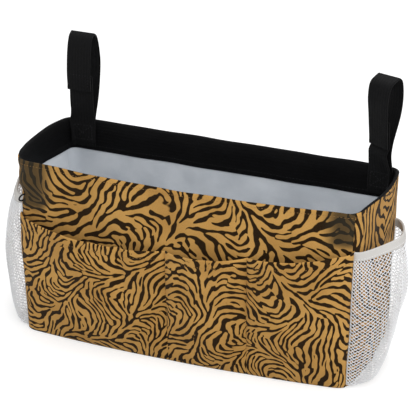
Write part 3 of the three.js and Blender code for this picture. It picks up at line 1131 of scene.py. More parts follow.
@dataclass
class Walls:
    """The four walls and the floor: printed cloth, board and lining."""

    shape: BoxShape
    finishes: Finishes
    cloth: float = 0.001
    board: float = 0.002
    lining: float = 0.0008
    board_depth: float = 0.0023
    board_foot: float = 0.0023
    board_top: float = 0.1745
    lining_depth: float = 0.004
    lining_foot: float = 0.0051
    lining_top: float = 0.1685
    step: float = 0.0032
    cloth_rows: int = 62
    board_rows: int = 40
    lining_rows: int = 56
    floor_steps: tuple[int, int] = (70, 26)
    floor_inset: float = 0.0036
    underside_inset: float = 0.0013
    corner_shade_reach: float = 0.027
    corner_shade_edge: tuple[float, float] = (0.6, 1.25)
    left_share: float = 0.72
    facing_height: float = 0.034
    facing_edge: tuple[float, float] = (-0.006, 0.003)
    left_drop: float = 0.014
    left_drop_reach: tuple[float, float] = (0.02, 0.05)
    slack: float = 0.0011
    slack_bias: float = 0.2
    slack_waves: tuple[tuple[float, ...], ...] = ((19.0, 70.0, 0.0), (7.0, -38.0, 0.6))
    slack_foot: tuple[float, float] = (0.01, 0.05)
    slack_top: tuple[float, float] = (0.11, 0.15)
    stitch_drop: float = 0.0045
    stitch_span: tuple[float, float] = (0.004, 0.996)
    long_samples: int = 240
    short_samples: int = 90
    stitch_nudges: tuple[float, float] = (0.001, 0.001)

    def stops(self, side: Side) -> Array:
        """Shares along a wall, just short of its seams."""
        length = self.shape.length(side)
        return np.linspace(SEAM_GAP / length, 1.0 - SEAM_GAP / length, int(length / self.step) + 2)

    # Painted shade: a mask that draws the front's upper corners darker
    def painted_corner_shade(self, along: Array, height: Array) -> Array:
        """Painted shade: the share by which the front's upper corners are drawn darker in the print's
        colour.

        It is the share near to either corner times the share above the facing's lower edge, which hangs
        lower at the left.

        Args:
            along: share along the front.
            height: height above the floor.

        Returns:
            The share, 0 to 1.
        """
        length = self.shape.length(Side.FRONT)
        from_left, from_right = along * length, (1.0 - along) * length
        nearest = np.minimum(from_left * self.left_share, from_right) / self.corner_shade_reach
        drop = self.left_drop * (1.0 - smoothstep(from_left, *self.left_drop_reach))
        above = height - (self.shape.height - self.facing_height - drop)
        return (1.0 - smoothstep(nearest, *self.corner_shade_edge)) * smoothstep(above, *self.facing_edge)

    def lined(self, side: Side, along: Array, height: Array) -> Array:
        """A point of the lining: it sinks in by slanted waves that fade to the floor and the facing.

        Args:
            side: the wall.
            along: share along it.
            height: height above the floor.

        Returns:
            The points.
        """
        waves = crossed_waves(along, height, *self.slack_waves) + self.slack_bias
        fade = smoothstep(height, *self.slack_foot) * (1.0 - smoothstep(height, *self.slack_top))
        slack = np.maximum(0.0, self.slack * waves * fade)
        return self.shape.place(side, along, height, -self.lining_depth - slack)

    def build(self) -> None:
        """Makes the three layers of each wall."""
        heights = np.linspace(self.cloth / 2.0, self.shape.height - self.cloth / 2.0, self.cloth_rows)
        board_heights = np.linspace(self.board_foot, self.board_top, self.board_rows)
        lining_heights = np.linspace(self.lining_foot, self.lining_top, self.lining_rows)
        for side in Side:
            name, stops = side.value, self.stops(side)
            outer = partial(self.shape.place, side, out=-self.cloth / 2.0)
            start = (self.shape.around(side, 0.0), 0.0)
            marks = {"painted_corner_shade": self.painted_corner_shade if side is Side.FRONT else no_painted_shade}
            panel = Cloth(f"{name}_cloth", outer, stops, heights, self.cloth, start, marks=marks).build()
            dress(panel, self.finishes.wall_print, "striped_print", "caddy", f"{name}_panel")
            inner = partial(self.shape.place, side, out=-self.board_depth)
            board = Cloth(f"{name}_board", inner, stops, board_heights, self.board).build()
            dress(board, self.finishes.board, "stiffener_board", "caddy", f"{name}_stiffener")
            lined = partial(self.lined, side)
            lining = Cloth(f"{name}_lining_cloth", lined, stops, lining_heights, self.lining).build()
            dress(lining, self.finishes.lining, "grey_lining", "caddy", f"{name}_lining")

    def build_floor(self) -> None:
        """Makes the three layers of the floor."""
        finishes = self.finishes
        layers = (
            ("underside_cloth", "bottom_panel", self.cloth, finishes.wall_print, "striped_print"),
            ("floor_board", "base_board", self.board, finishes.board, "stiffener_board"),
            ("floor_lining_cloth", "floor_lining", self.lining, finishes.lining, "grey_lining"),
        )
        insets = (self.underside_inset, self.floor_inset, self.floor_inset)
        heights = (self.cloth / 2.0, self.board_depth, self.lining_depth)
        a_stops, b_stops = (np.linspace(0.0, 1.0, steps) for steps in self.floor_steps)
        for (name, node, thick, material, slot), inset, height in zip(layers, insets, heights):
            place = partial(self.shape.floor, out=-inset - thick / 2.0, height=height)
            layer = Cloth(name, place, a_stops, b_stops, thick, marks={"painted_corner_shade": no_painted_shade}).build()
            dress(layer, material, slot, "caddy", node)

    def sew(self) -> None:
        """Makes the row of stitches under the rim."""
        rows = []
        for side in Side:
            count = self.long_samples if side in (Side.FRONT, Side.BACK) else self.short_samples
            along = np.linspace(*self.stitch_span, count)
            height = np.full(along.shape, self.shape.height - self.stitch_drop)
            rows.append(seam(partial(self.shape.place, side), (along, height), self.stitch_nudges))
        thread = Stitching().sew("rim_stitches", rows)
        dress(thread, self.finishes.ochre_thread, "striped_print")


@dataclass
class RimFacing:
    """The black tape inside the rim: it lies on the lining and leans out over the board.

    On the front it stops short of the cloth's edge. On the other three walls it covers that edge.
    """

    shape: BoxShape
    finishes: Finishes
    thickness: float = 0.0011
    on_lining: Line = ((0.0053, 0.1505), (0.0053, 0.160), (0.0053, 0.1695))
    short_of_edge: Line = ((0.0048, 0.1738), (0.0034, 0.1772), (0.0026, 0.1782), (0.0019, 0.1790))
    over_edge: Line = ((0.0046, 0.1745), (0.0032, 0.1790), (0.0018, 0.1804), (0.0002, 0.1806))
    turn_length: float = 0.018
    along_steps: int = 300
    across_stops: int = 30
    stitch_share: float = 0.09
    stitch_samples: int = 700
    stitch_gap: float = 0.001
    stitch_nudges: tuple[float, float] = (0.0005, 0.01)

    def place(self, around: Array, up: Array) -> Array:
        """A point on the tape.

        Args:
            around: whole numbers count walls from the left front seam, the rest is the share along one.
            up: share up the tape's section.

        Returns:
            The points.
        """
        wall = np.minimum(around.astype(int), len(Side) - 1)
        result = np.zeros((*around.shape, 3))
        for number, side in enumerate(Side):
            here = wall == number
            if here.any():
                result[here] = self.on_wall(side, (around - number)[here], up[here])
        return result

    def on_wall(self, side: Side, along: Array, up: Array) -> Array:
        """A point on the tape of one wall: its section goes over the edge away from the front seams.

        Args:
            side: the wall.
            along: share along it.
            up: share up the tape's section.

        Returns:
            The points.
        """
        from_front = {
            Side.FRONT: np.zeros(along.shape),
            Side.RIGHT: along * self.shape.length(side),
            Side.BACK: np.full(along.shape, self.turn_length),
            Side.LEFT: (1.0 - along) * self.shape.length(side),
        }[side]
        over = smoothstep(from_front, 0.0, self.turn_length)[..., None]
        tops = (self.short_of_edge, self.over_edge)
        short, full = (curve_through([*self.on_lining, *top], up) for top in tops)
        section = short + (full - short) * over
        return self.shape.place(side, along, section[..., 1], -section[..., 0])

    def build(self) -> None:
        """Makes the tape, and the stitches along its lower edge."""
        steps = [int(self.along_steps * self.shape.length(side) / self.shape.whole) for side in Side]
        runs = [number + np.linspace(0.0, 1.0, count, endpoint=False) for number, count in enumerate(steps)]
        stops = np.append(np.concatenate(runs), float(len(Side)))
        levels = np.linspace(0.0, 1.0, self.across_stops)
        tape = Cloth("rim_facing", self.place, stops, levels, self.thickness, closed=True).build()
        dress(tape, self.finishes.facing, "black_webbing", "caddy", "rim_band")
        around = np.linspace(0.0, len(Side) - self.stitch_gap, self.stitch_samples)
        line = (around, np.full(around.shape, self.stitch_share))
        points, normal = seam(self.place, line, self.stitch_nudges, -self.thickness / 2.0)
        thread = Stitching().sew("facing_stitches", [(points, -normal)])
        dress(thread, self.finishes.black_thread, "black_webbing")


# The pockets


@dataclass(frozen=True)
class Fold:
    """An upright fold in a pocket: its share across the pocket, its depth, and its spread as a share."""

    centre: float
    depth: float
    spread: float


@dataclass
class FrontPocket:
    """A flat pocket sewn down at its foot and sides, which stands off the front in between."""

    shape: BoxShape
    finishes: Finishes
    name: str
    node: str
    first: float
    last: float
    bulge: float
    folds: tuple[Fold, ...] = ()
    gap: float = 0.0003
    cloth: float = 0.001
    roundness: float = 0.6
    fold_sway: float = 0.01
    fold_sway_rate: float = 7.0
    fold_foot: float = 0.45
    slack: float = 0.0006
    slack_waves: tuple[tuple[float, ...], ...] = ((17.0, 5.0, 0.0), (-6.0, 9.0, 0.0))
    rise_share: float = 0.69
    hem_height: float = 0.009
    hem_drop_left: float = 0.057
    hem_drop_right: float = 0.040
    hem_sag: float = 0.014
    hem_fullness: float = 0.75
    hem_edge: tuple[float, float] = (-0.0006, 0.0004)
    hem_stops: tuple[float, ...] = (0.0, 0.0015, 0.004, 0.0065, 0.008, 0.0086, 0.0092, 0.0098, 0.0115)
    above_stops: float = 0.02
    foot_stop: float = 0.004
    rise_steps: int = 58
    step: float = 0.0021
    side_crowding: float = 0.45
    stitch_margin: float = 0.0018
    stitch_lift: float = 0.87
    stitch_span: tuple[float, float] = (0.01, 0.99)
    stitch_samples: int = 160
    stitch_nudges: tuple[float, float] = (0.002, 0.004)

    @property
    def rise(self) -> float:
        """About how high the pocket is."""
        return self.shape.height * self.rise_share

    def hem(self, along: Array | float) -> Array | float:
        """Height of the hem that the three pockets share: a parabola that sags below a straight line."""
        drop = self.hem_drop_left + (self.hem_drop_right - self.hem_drop_left) * along
        return self.shape.height - drop - self.hem_sag * 4.0 * along * (1.0 - along)

    def place(self, across: Array, up: Array) -> Array:
        """A point on the pocket's middle surface.

        It stands off the front by a power of the product of two sine waves, half of one across and a
        quarter of one up. A bell for each fold is taken off and two crossed waves are added, which fade
        towards the seams as well.

        Args:
            across: share across the pocket.
            up: share up to the hem.

        Returns:
            The points.
        """
        along = self.first + (self.last - self.first) * across
        swell = np.sin(math.pi * np.clip(across, 0.0, 1.0)) * np.sin(math.pi / 2.0 * np.clip(up, 0.0, 1.0))
        stand = np.clip(swell, 0.0, None) ** self.roundness
        out = self.gap + self.cloth / 2.0 + self.bulge * stand
        swayed = across + self.fold_sway * np.sin(up * self.fold_sway_rate)
        growing = self.fold_foot + (1.0 - self.fold_foot) * up
        for fold in self.folds:
            out = out - fold.depth * bell(swayed, fold.centre, fold.spread) * growing * stand
        out = out + self.slack * crossed_waves(across, up, *self.slack_waves) * stand
        return self.shape.place(Side.FRONT, along, up * self.hem(along), out)

    def thick(self, across: Array, up: Array) -> Array:
        """The cloth's thickness, nearly doubled in the folded hem.

        Args:
            across: share across the pocket, which doesn't change it.
            up: share up to the hem.

        Returns:
            The thickness.
        """
        below = (1.0 - up) * self.rise
        folded = 1.0 - smoothstep(below - self.hem_height, *self.hem_edge)
        return self.cloth * (1.0 + self.hem_fullness * folded)

    def build(self) -> None:
        """Makes the pocket, with its steps closer together at the sides and the hem, and its stitches."""
        width = (self.last - self.first) * self.shape.length(Side.FRONT)
        share = np.linspace(0.0, 1.0, int(width / self.step))
        crowded = (1.0 - np.cos(math.pi * share)) / 2.0
        across = share + (crowded - share) * self.side_crowding
        gap = SEAM_GAP / width
        across = gap + across * (1.0 - 2.0 * gap)
        below = np.array(self.hem_stops) / self.rise
        low = np.linspace(self.foot_stop, 1.0 - below[-1] - self.above_stops, self.rise_steps)
        up = np.concatenate([low, 1.0 - below[::-1]])
        start = (self.shape.around(Side.FRONT, self.first), 0.0)
        marks = {"painted_corner_shade": no_painted_shade}
        pocket = Cloth(self.name, self.place, across, up, self.thick, start, marks=marks).build()
        dress(pocket, self.finishes.pocket_print, "striped_print", "caddy", self.node)
        line = np.linspace(*self.stitch_span, self.stitch_samples)
        level = np.full(line.shape, 1.0 - (self.hem_height - self.stitch_margin) / self.rise)
        row = seam(self.place, (line, level), self.stitch_nudges, self.cloth * self.stitch_lift)
        thread = Stitching().sew(f"{self.name}_stitches", [row])
        dress(thread, self.finishes.ochre_thread, "striped_print")


@dataclass
class Dividers:
    """The upright rows of stitches that part the front pockets."""

    shape: BoxShape
    finishes: Finishes
    pocket: FrontPocket
    thread: float = 0.0005
    lift: float = 0.0009
    foot: float = 0.004
    below_hem: float = 0.002
    samples: int = 80
    nudges: tuple[float, float] = (0.001, 0.001)

    def build(self) -> None:
        """Makes the two rows."""
        place = partial(self.shape.place, Side.FRONT, out=self.lift)
        rows = []
        for along in DIVIDER_SHARES:
            height = np.linspace(self.foot, self.pocket.hem(along) - self.below_hem, self.samples)
            rows.append(seam(place, (np.full(height.shape, along), height), self.nudges))
        thread = Stitching(thread=self.thread).sew("divider_stitches", rows)
        dress(thread, self.finishes.black_thread, "striped_print")


@dataclass
class NetPocket:
    """A net bag on one end of the box, with a binding along its mouth."""

    shape: BoxShape
    finishes: Finishes
    end: End
    bulge: float = 0.029
    roundness: float = 0.6
    foot: float = 0.003
    gap: float = 0.0003
    drop_front: float = 0.040
    drop_back: float = 0.046
    inset: float = 0.002
    front_shares: tuple[float, ...] = (0.0, 0.7, 1.0, 1.25, 1.2, 0.8, 0.3)
    back_shares: tuple[float, ...] = (0.0, 0.03, 0.10, 0.56, 0.86, 0.82, 0.6)
    rise_shares: tuple[float, ...] = (0.0, 0.005, 0.06, 0.28, 0.55, 0.8, 1.0)
    fullest: float = 0.10
    leanest: float = 0.62
    pleat: float = 0.0011
    pleat_front: float = 0.35
    pleat_rate: float = 44.0
    pleat_sway: float = 2.4
    pleat_sway_rate: float = 3.0
    small_share: float = 0.6
    small_rate: float = 71.0
    small_lean: float = -5.0
    nudges: tuple[float, float] = (0.003, 0.003)
    table_steps: int = 121
    table_up: float = 0.55
    table_along: float = 0.5
    cell_width: float = 0.0050
    cell_height: float = 0.0035
    thread: float = 0.0011
    thread_sides: int = 4
    lift: float = 0.0004
    knot_share: float = 0.22
    hem_height: float = 0.008
    tape: float = 0.0007
    tape_steps: int = 64
    tape_side_steps: int = 7
    tape_turns: tuple[float, ...] = (0.0, 0.44, 0.5, 0.56, 1.0)
    tape_stands: tuple[float, ...] = (0.0013, 0.0013, 0.0004, -0.0005, -0.0005)
    tape_rises: tuple[float, ...] = (0.0, 0.0, 0.0006, 0.0, 0.0)
    tape_fold_stops: tuple[float, ...] = (0.47, 0.5, 0.53)
    tape_normal_span: tuple[float, float] = (0.004, 0.996)
    stitching: Stitching = Stitching(pitch=0.003, length=0.0022)
    stitch_span: tuple[float, float] = (0.02, 0.98)
    stitch_samples: int = 110
    stitch_turn: float = 0.08
    stitch_lift: float = 0.00035
    stitch_nudges: tuple[float, float] = (0.004, 0.02)

    @property
    def side(self) -> Side:
        """The wall that the bag lies on."""
        return self.end.value

    @property
    def edge(self) -> float:
        """How far the bag's sides are from the wall's, as a share along it."""
        return self.inset / self.shape.length(self.side)

    def pleats(self, from_front: Array, up: Array) -> Array:
        """The net's pleats: a sine wave that sways with the height, and a smaller one that leans.

        Args:
            from_front: share along the wall from the front.
            up: share up the net.

        Returns:
            Their height, as a share of a pleat.
        """
        swayed = np.sin(from_front * self.pleat_rate + self.pleat_sway * np.sin(up * self.pleat_sway_rate))
        return swayed + self.small_share * np.sin(from_front * self.small_rate + up * self.small_lean)

    def place(self, along: Array, up: Array) -> Array:
        """A point of the net: a section between a fuller one at the front and a leaner one at the back.

        Across the wall it swells as a power of half a sine wave.

        Args:
            along: share along the wall.
            up: share up the net.

        Returns:
            The points.
        """
        from_front = along if self.end is End.RIGHT else 1.0 - along
        hem = self.shape.height - (self.drop_front + (self.drop_back - self.drop_front) * from_front)
        fuller, leaner = (
            curve_through(list(zip(shares, self.rise_shares)), up)
            for shares in (self.front_shares, self.back_shares)
        )
        section = fuller + (leaner - fuller) * smoothstep(from_front, self.fullest, self.leanest)[..., None]
        height = self.foot + (hem - self.foot) * section[..., 1]
        share = np.clip((along - self.edge) / (1.0 - 2.0 * self.edge), 0.0, 1.0)
        swell = np.sin(math.pi * share) ** self.roundness
        calm = np.sin(math.pi * np.clip(up, 0.0, 1.0)) * swell
        pleat = self.pleat * (self.pleat_front + (1.0 - self.pleat_front) * from_front) * calm
        out = self.gap + self.bulge * section[..., 0] * swell + pleat * self.pleats(from_front, up)
        return self.shape.place(self.side, along, height, out)

    def even(self) -> tuple[Array, Array, float, float]:
        """Parameters at even distances over the net.

        Returns:
            Tables of both parameters against even shares, and the net's width and height.
        """
        stops = np.linspace(0.0, 1.0, self.table_steps)
        along = self.edge + stops * (1.0 - 2.0 * self.edge)
        width = lengths_along(self.place(along, np.full(stops.shape, self.table_up)))
        height = lengths_along(self.place(np.full(stops.shape, self.table_along), stops))
        even_along = np.interp(stops * width[-1], width, along)
        even_up = np.interp(stops * height[-1], height, stops)
        return even_along, even_up, width[-1], height[-1]

    def build(self) -> None:
        """Makes the net of upright zigzag threads, then its binding.

        Each thread goes half a cell aside at every second step. Two threads start in each column and
        zigzag in opposite ways, so that every thread meets its neighbours at its turns, where one of the
        two lies a little further out.
        """
        table_along, table_up, width, height = self.even()
        columns, rows = int(width / self.cell_width), 2 * int(height / self.cell_height)
        stops = np.linspace(0.0, 1.0, self.table_steps)
        level, column = np.arange(rows + 1), np.arange(columns + 1)[:, None]
        aside = (level % 2)[None] * 0.5
        shares = np.clip(np.concatenate([column + aside, column - aside]) / columns, 0.0, 1.0)
        along = np.interp(shares, stops, table_along)
        up = np.broadcast_to(np.interp(level / rows, stops, table_up), along.shape)
        normal = normals_of(self.place, along, up, self.nudges)
        layer = np.repeat([1.0, -1.0], columns + 1)[:, None, None]
        lines = self.place(along, up) + normal * (self.lift + self.thread * self.knot_share * layer)
        net = tubes(f"{self.end.word}_net", lines, normal, self.thread / 2.0, self.thread_sides)
        dress(net, self.finishes.net, "white_net", "caddy", f"{self.end.word}_net_pocket")
        self.bind()

    def bound(self, along: Array, turn: Array) -> Array:
        """A point of the binding: up the outside of the net, over its mouth and down the inside.

        Args:
            along: share along the wall.
            turn: share of the way round the binding.

        Returns:
            The points.
        """
        low = 1.0 - self.hem_height / (self.shape.height - self.drop_front - self.foot)
        levels = [low, 1.0, 1.0, 1.0, low]
        tables = (levels, self.tape_stands, self.tape_rises)
        up, stand, rise = (np.interp(turn, self.tape_turns, values) for values in tables)
        normal = normals_of(self.place, along, np.clip(up, *self.tape_normal_span), self.nudges)
        return self.place(along, up) + normal * stand[..., None] + UP * rise[..., None]

    def bind(self) -> None:
        """Makes the binding, folded over the mouth, and its stitches."""
        stops = np.linspace(self.edge, 1.0 - self.edge, self.tape_steps)
        outer, inner = self.tape_turns[:2], self.tape_turns[-2:]
        faces = [np.linspace(*ends, self.tape_side_steps) for ends in (outer, inner)]
        turn = np.concatenate([faces[0], self.tape_fold_stops, faces[1]])
        binding = Cloth(f"{self.end.word}_net_binding", self.bound, stops, turn, self.tape).build()
        dress(binding, self.finishes.tape, "white_tape", "caddy", f"{self.end.word}_net_hem")
        line = np.linspace(*self.stitch_span, self.stitch_samples)
        level = np.full(line.shape, self.stitch_turn)
        row = seam(self.bound, (line, level), self.stitch_nudges, self.stitch_lift)
        thread = self.stitching.sew(f"{self.end.word}_net_stitches", [row])
        dress(thread, self.finishes.white_thread, "white_tape")


# The loops


@dataclass(frozen=True)
class Hook:
    """A small hook: it rises by a sine of its turn, and curls over upwards by 1 less a cosine of it."""

    radius: float = 0.00008
    sides: int = 4
    turn: float = math.pi * 1.25
    steps: int = 7
    rise_rate: float = 0.8
    curl_share: float = 0.6

    def curl(self, out: Array, size: float) -> Array:
        """Its points, counted from its foot.

        Args:
            out: unit vectors out of the patch, one for each hook.
            size: how far it rises.

        Returns:
            Hooks by points by coordinates.
        """
        turn = np.linspace(0.0, self.turn, self.steps)[None, :, None]
        rise = size * np.sin(turn * self.rise_rate) * out[:, None]
        return rise + size * self.curl_share * (1.0 - np.cos(turn)) * UP


@dataclass
class HangingLoop:
    """One webbing loop: a rear leg and crown, a flap that opens at the crown, and a short tab.

    Each strip follows a line of points forwards and up from the pivot, seen from the end of the box.
    The whole loop is turned about an upright line at the pivot, more at its foot than at its crown.
    Spans and shares along the foot are counted from the pivot in lengths of the foot.
    """

    shape: BoxShape
    finishes: Finishes
    end: End
    along: float
    ahead: float
    rear: Line
    crown: tuple[float, float]
    front: Line
    tab_low: Line
    tab_shift: float = 0.0
    sideways: float = 0.0
    foot_turn: float = 0.0
    crown_turn: float = 0.0
    width: float = 0.0254
    thickness: float = 0.0016
    tab_top: float = 0.050
    patch: float = 0.001
    base_share: float = 0.5
    margin: float = 0.0015
    clearance: float = 0.0003
    foot: float = 0.027
    band_depth: float = 0.0059
    leg_foot_shares: tuple[float, ...] = (1.0, 0.62, 0.33)
    tab_foot_shares: tuple[float, ...] = (0.8, 0.4)
    shift_span: tuple[float, float] = (0.0, 0.3)
    free_span: tuple[float, float] = (-0.3, 0.7)
    beside_span: tuple[float, float] = (1.0, 0.4)
    beside_samples: int = 200
    beside_points: int = 4
    line_samples: int = 400
    wall_samples: int = 800
    leg_steps: int = 90
    tab_steps: int = 50
    flap_steps: int = 64
    across_steps: int = 15
    edge_steps: int = 6
    fold_fullness: float = 0.25
    fold_span: tuple[float, float] = (0.93, 0.95)
    rim_bend: tuple[float, float] = (-0.002, 0.010)
    crown_bend: tuple[float, float] = (0.024, -0.018)
    patch_steps: tuple[int, int] = (16, 20)
    hook: Hook = Hook()
    hook_share: float = 0.9
    hook_margin: float = 0.0012
    hook_span: tuple[float, float] = (0.06, 0.94)
    hook_counts: tuple[int, int] = (11, 16)
    nudges: tuple[float, float] = (0.01, 0.0005)
    stitching: Stitching = Stitching(pitch=0.0028, length=0.0021)
    stitch_samples: int = 40
    stitch_margin: float = 0.003
    foot_box: tuple[float, float] = (0.04, 0.24)
    flap_box_gap: float = 0.03
    flap_box_end: float = 0.985

    @property
    def word(self) -> str:
        """The end's name in piece and node names."""
        return self.end.word

    @property
    def pivot(self) -> Array:
        """Where the loop turns at the rim."""
        back = self.shape.depth / 2.0 - PIVOT_DEPTH - self.ahead
        return np.array([self.along, back, self.shape.height + PIVOT_RISE])

    @property
    def flap_foot(self) -> float:
        """How high the flap ends above the pivot."""
        return self.front[-1][1]

    @property
    def behind(self) -> float:
        """How far the tab stands behind the flap: both patches and the gaps between them."""
        return self.thickness + 2.0 * self.patch + 3.0 * self.clearance

    def stand(self, forward: Array | float, up: Array | float, across: Array | float) -> Array:
        """A point of the turned loop.

        Its place forwards and across is turned about an upright line by an angle that changes with the
        third power of the height from the foot to the crown, and then moved sideways with the height.

        Args:
            forward: distance forwards of the pivot.
            up: distance above the pivot.
            across: distance across the webbing.

        Returns:
            The points.
        """
        share = np.clip(up / self.crown[1], 0.0, 1.0)
        turn = np.radians(self.foot_turn + (self.crown_turn - self.foot_turn) * share**3)
        x, y, z = self.pivot
        x = x + self.sideways * share + across * np.cos(turn) - forward * np.sin(turn)
        y = y - across * np.sin(turn) - forward * np.cos(turn)
        return np.stack(np.broadcast_arrays(x, y, z + up), axis=-1)

    def leg_line(self) -> Line:
        """The rear leg: up inside the facing, back over the rim, up and over to the crown.

        Returns:
            Points forwards and up from the pivot.
        """
        foot = self.band_depth + self.clearance + self.thickness / 2.0 - PIVOT_DEPTH
        low = [(foot, -self.foot * share) for share in self.leg_foot_shares]
        return [*low, (self.clearance, 0.0), *self.rear, self.crown]

    def flap_line(self) -> Line:
        """The flap: from the crown down in front."""
        return [self.crown, *self.front]

    def tab_line(self) -> Line:
        """The tab: up from the facing to stand behind the flap.

        Returns:
            Points forwards and up from the pivot.
        """
        foot = self.band_depth + 2.0 * self.clearance + 1.5 * self.thickness - PIVOT_DEPTH
        low = [(foot, -self.foot * share) for share in self.tab_foot_shares]
        return [*low, *self.tab_low, *self.beside_flap(-self.behind, self.flap_foot, self.tab_top)]

    def beside_flap(self, forward: float, low: float, high: float) -> Line:
        """Points that keep a distance from the flap's middle.

        Args:
            forward: the distance, forwards.
            low: height of the first point.
            high: height of the last point.

        Returns:
            Points forwards and up from the pivot.
        """
        flap = curve_through(self.flap_line(), np.linspace(*self.beside_span, self.beside_samples))
        heights = np.linspace(low, high, self.beside_points)
        places = np.interp(heights, flap[:, 1], flap[:, 0]) + forward
        return list(zip(places.tolist(), heights.tolist()))

    def runs_along(self, line: Line) -> tuple[Array, Array]:
        """Even shares of a line's parameter, and the running length at each."""
        stops = np.linspace(0.0, 1.0, self.line_samples)
        return stops, lengths_along(curve_through(line, stops))

    def surface(self, line: Line, shift: float = 0.0) -> Place:
        """A strip of webbing along a line, laid round the inside of the box where it is sewn on.

        Args:
            line: points forwards and up from the pivot.
            shift: how far it stands across from the others above the rim.

        Returns:
            The surface: share along the line, and distance across the webbing.
        """
        stops, run = self.runs_along(line)
        walls = np.linspace(0.0, 1.0, self.wall_samples)
        level = np.array(self.shape.height - self.foot / 2.0)
        inner = self.shape.place(Side.BACK, walls, level, -PIVOT_DEPTH - line[0][0])
        reach = lengths_along(inner)
        centre = float(np.interp(self.along, inner[::-1, 0], reach[::-1]))

        def place(a: Array, b: Array) -> Array:
            """A point of the strip: the free one above the rim, the one laid on the wall below it.

            Args:
                a: share along the line.
                b: distance across the webbing.

            Returns:
                The points.
            """
            forward, up = np.moveaxis(curve_through(line, np.interp(a * run[-1], run, stops)), -1, 0)
            rise = up / self.foot
            free = self.stand(forward, up, b + shift * smoothstep(rise, *self.shift_span))
            share = np.interp(centre - b, reach, walls)
            height = np.minimum(free[..., 2], self.shape.height)
            sewn = self.shape.place(Side.BACK, share, height, -PIVOT_DEPTH - forward)
            sewn[..., 2] = free[..., 2]
            held = 1.0 - smoothstep(rise, *self.free_span)
            return free + (sewn - free) * held[..., None]

        return place

    def folded(self, along: Array, across: Array) -> Array:
        """The flap's thickness, a little more in its folded end.

        Args:
            along: share along the flap.
            across: distance across it, which doesn't change it.

        Returns:
            The thickness.
        """
        return self.thickness * (1.0 + self.fold_fullness * smoothstep(along, *self.fold_span))

    def strip(self, name: str, place: Place, steps: int, thickness: float | Place) -> Object:
        """Makes one strip of webbing.

        Args:
            name: the piece's name.
            place: its middle surface.
            steps: steps along it.
            thickness: its thickness.

        Returns:
            The object.
        """
        half = (self.width - self.thickness) / 2.0
        across = np.linspace(-half, half, self.across_steps)
        along = np.linspace(0.0, 1.0, steps)
        return Cloth(name, place, along, across, thickness, edge_steps=self.edge_steps).build()

    def build(self) -> None:
        """Makes the strips and adds patches and stitches."""
        leg_place, flap_place = self.surface(self.leg_line()), self.surface(self.flap_line())
        tab_place = self.surface(self.tab_line(), self.tab_shift)
        leg = self.strip(f"{self.word}_strap_leg", leg_place, self.leg_steps, self.thickness)
        dress(leg, self.finishes.webbing, "black_webbing", None, f"{self.word}_strap_loop")
        tab = self.strip(f"{self.word}_strap_catch", tab_place, self.tab_steps, self.thickness)
        dress(tab, self.finishes.webbing, "black_webbing", None, f"{self.word}_strap_tab")
        flap = self.strip(f"{self.word}_strap_front", flap_place, self.flap_steps, self.folded)
        dress(flap, self.finishes.webbing, "black_webbing", None, f"{self.word}_strap_flap")
        x, y, z = self.pivot
        low, high = (z + rise for rise in self.rim_bend)
        for piece in (leg, tab):
            f"{self.word}_loop"
            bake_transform(piece)
        ahead, down = self.crown_bend
        crown = tuple(self.stand(*self.crown, 0.0))
        past = tuple(self.stand(self.crown[0] + ahead, self.crown[1] + down, 0.0))
        f"{self.word}_loop"
        f"{self.word}_flap"
        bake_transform(flap)
        self.patches()
        self.sew(tab_place, flap_place)

    def patches(self) -> None:
        """Makes the loop patch on the tab and the hook patch on the flap, with its hooks."""
        half = self.width / 2.0 - self.margin
        low, high = self.flap_foot + self.margin, self.tab_top - self.margin
        reach = (self.thickness + self.patch) / 2.0 + self.clearance
        base = self.patch * self.base_share
        steps_up, steps_across = self.patch_steps
        stops, across = np.linspace(0.0, 1.0, steps_up), np.linspace(-half, half, steps_across)
        pile_place = self.surface(self.beside_flap(reach - self.behind, low, high), self.tab_shift)
        hook_place = self.surface(self.beside_flap((self.patch - base) / 2.0 - reach, low, high))
        pile = Cloth(f"{self.word}_pile_patch", pile_place, stops, across, self.patch).build()
        dress(pile, self.finishes.pile, "hook_and_loop", f"{self.word}_loop", f"{self.word}_loop_patch")
        hooked = Cloth(f"{self.word}_hook_base", hook_place, stops, across, base).build()
        dress(hooked, self.finishes.pile, "hook_and_loop", f"{self.word}_flap", f"{self.word}_hook_patch")
        self.hooks(hook_place, base)

    def hooks(self, place: Place, base: float) -> None:
        """Makes the rows of small hooks on the hook patch.

        Args:
            place: the middle surface of the patch's base.
            base: the base's thickness.
        """
        half = self.width / 2.0 - self.margin - self.hook_margin
        rows, many = self.hook_counts
        grid = np.meshgrid(np.linspace(*self.hook_span, rows), np.linspace(-half, half, many))
        along, across = (values.ravel() for values in grid)
        out = self.facing(place, along, across)
        feet = place(along, across) + out * base / 2.0
        lines = feet[:, None] + self.hook.curl(out, (self.patch - base) * self.hook_share)
        sideways = np.broadcast_to(np.cross(out, UP)[:, None], lines.shape)
        hooks = tubes(f"{self.word}_hooks", lines, sideways, self.hook.radius, self.hook.sides)
        dress(hooks, self.finishes.hooks, "hook_and_loop", f"{self.word}_flap")

    def facing(self, place: Place, along: Array, across: Array) -> Array:
        """Unit normals of a strip that point to the back of the box."""
        normal = normals_of(place, along, across, self.nudges)
        return normal * np.sign(normal[..., 1:2])

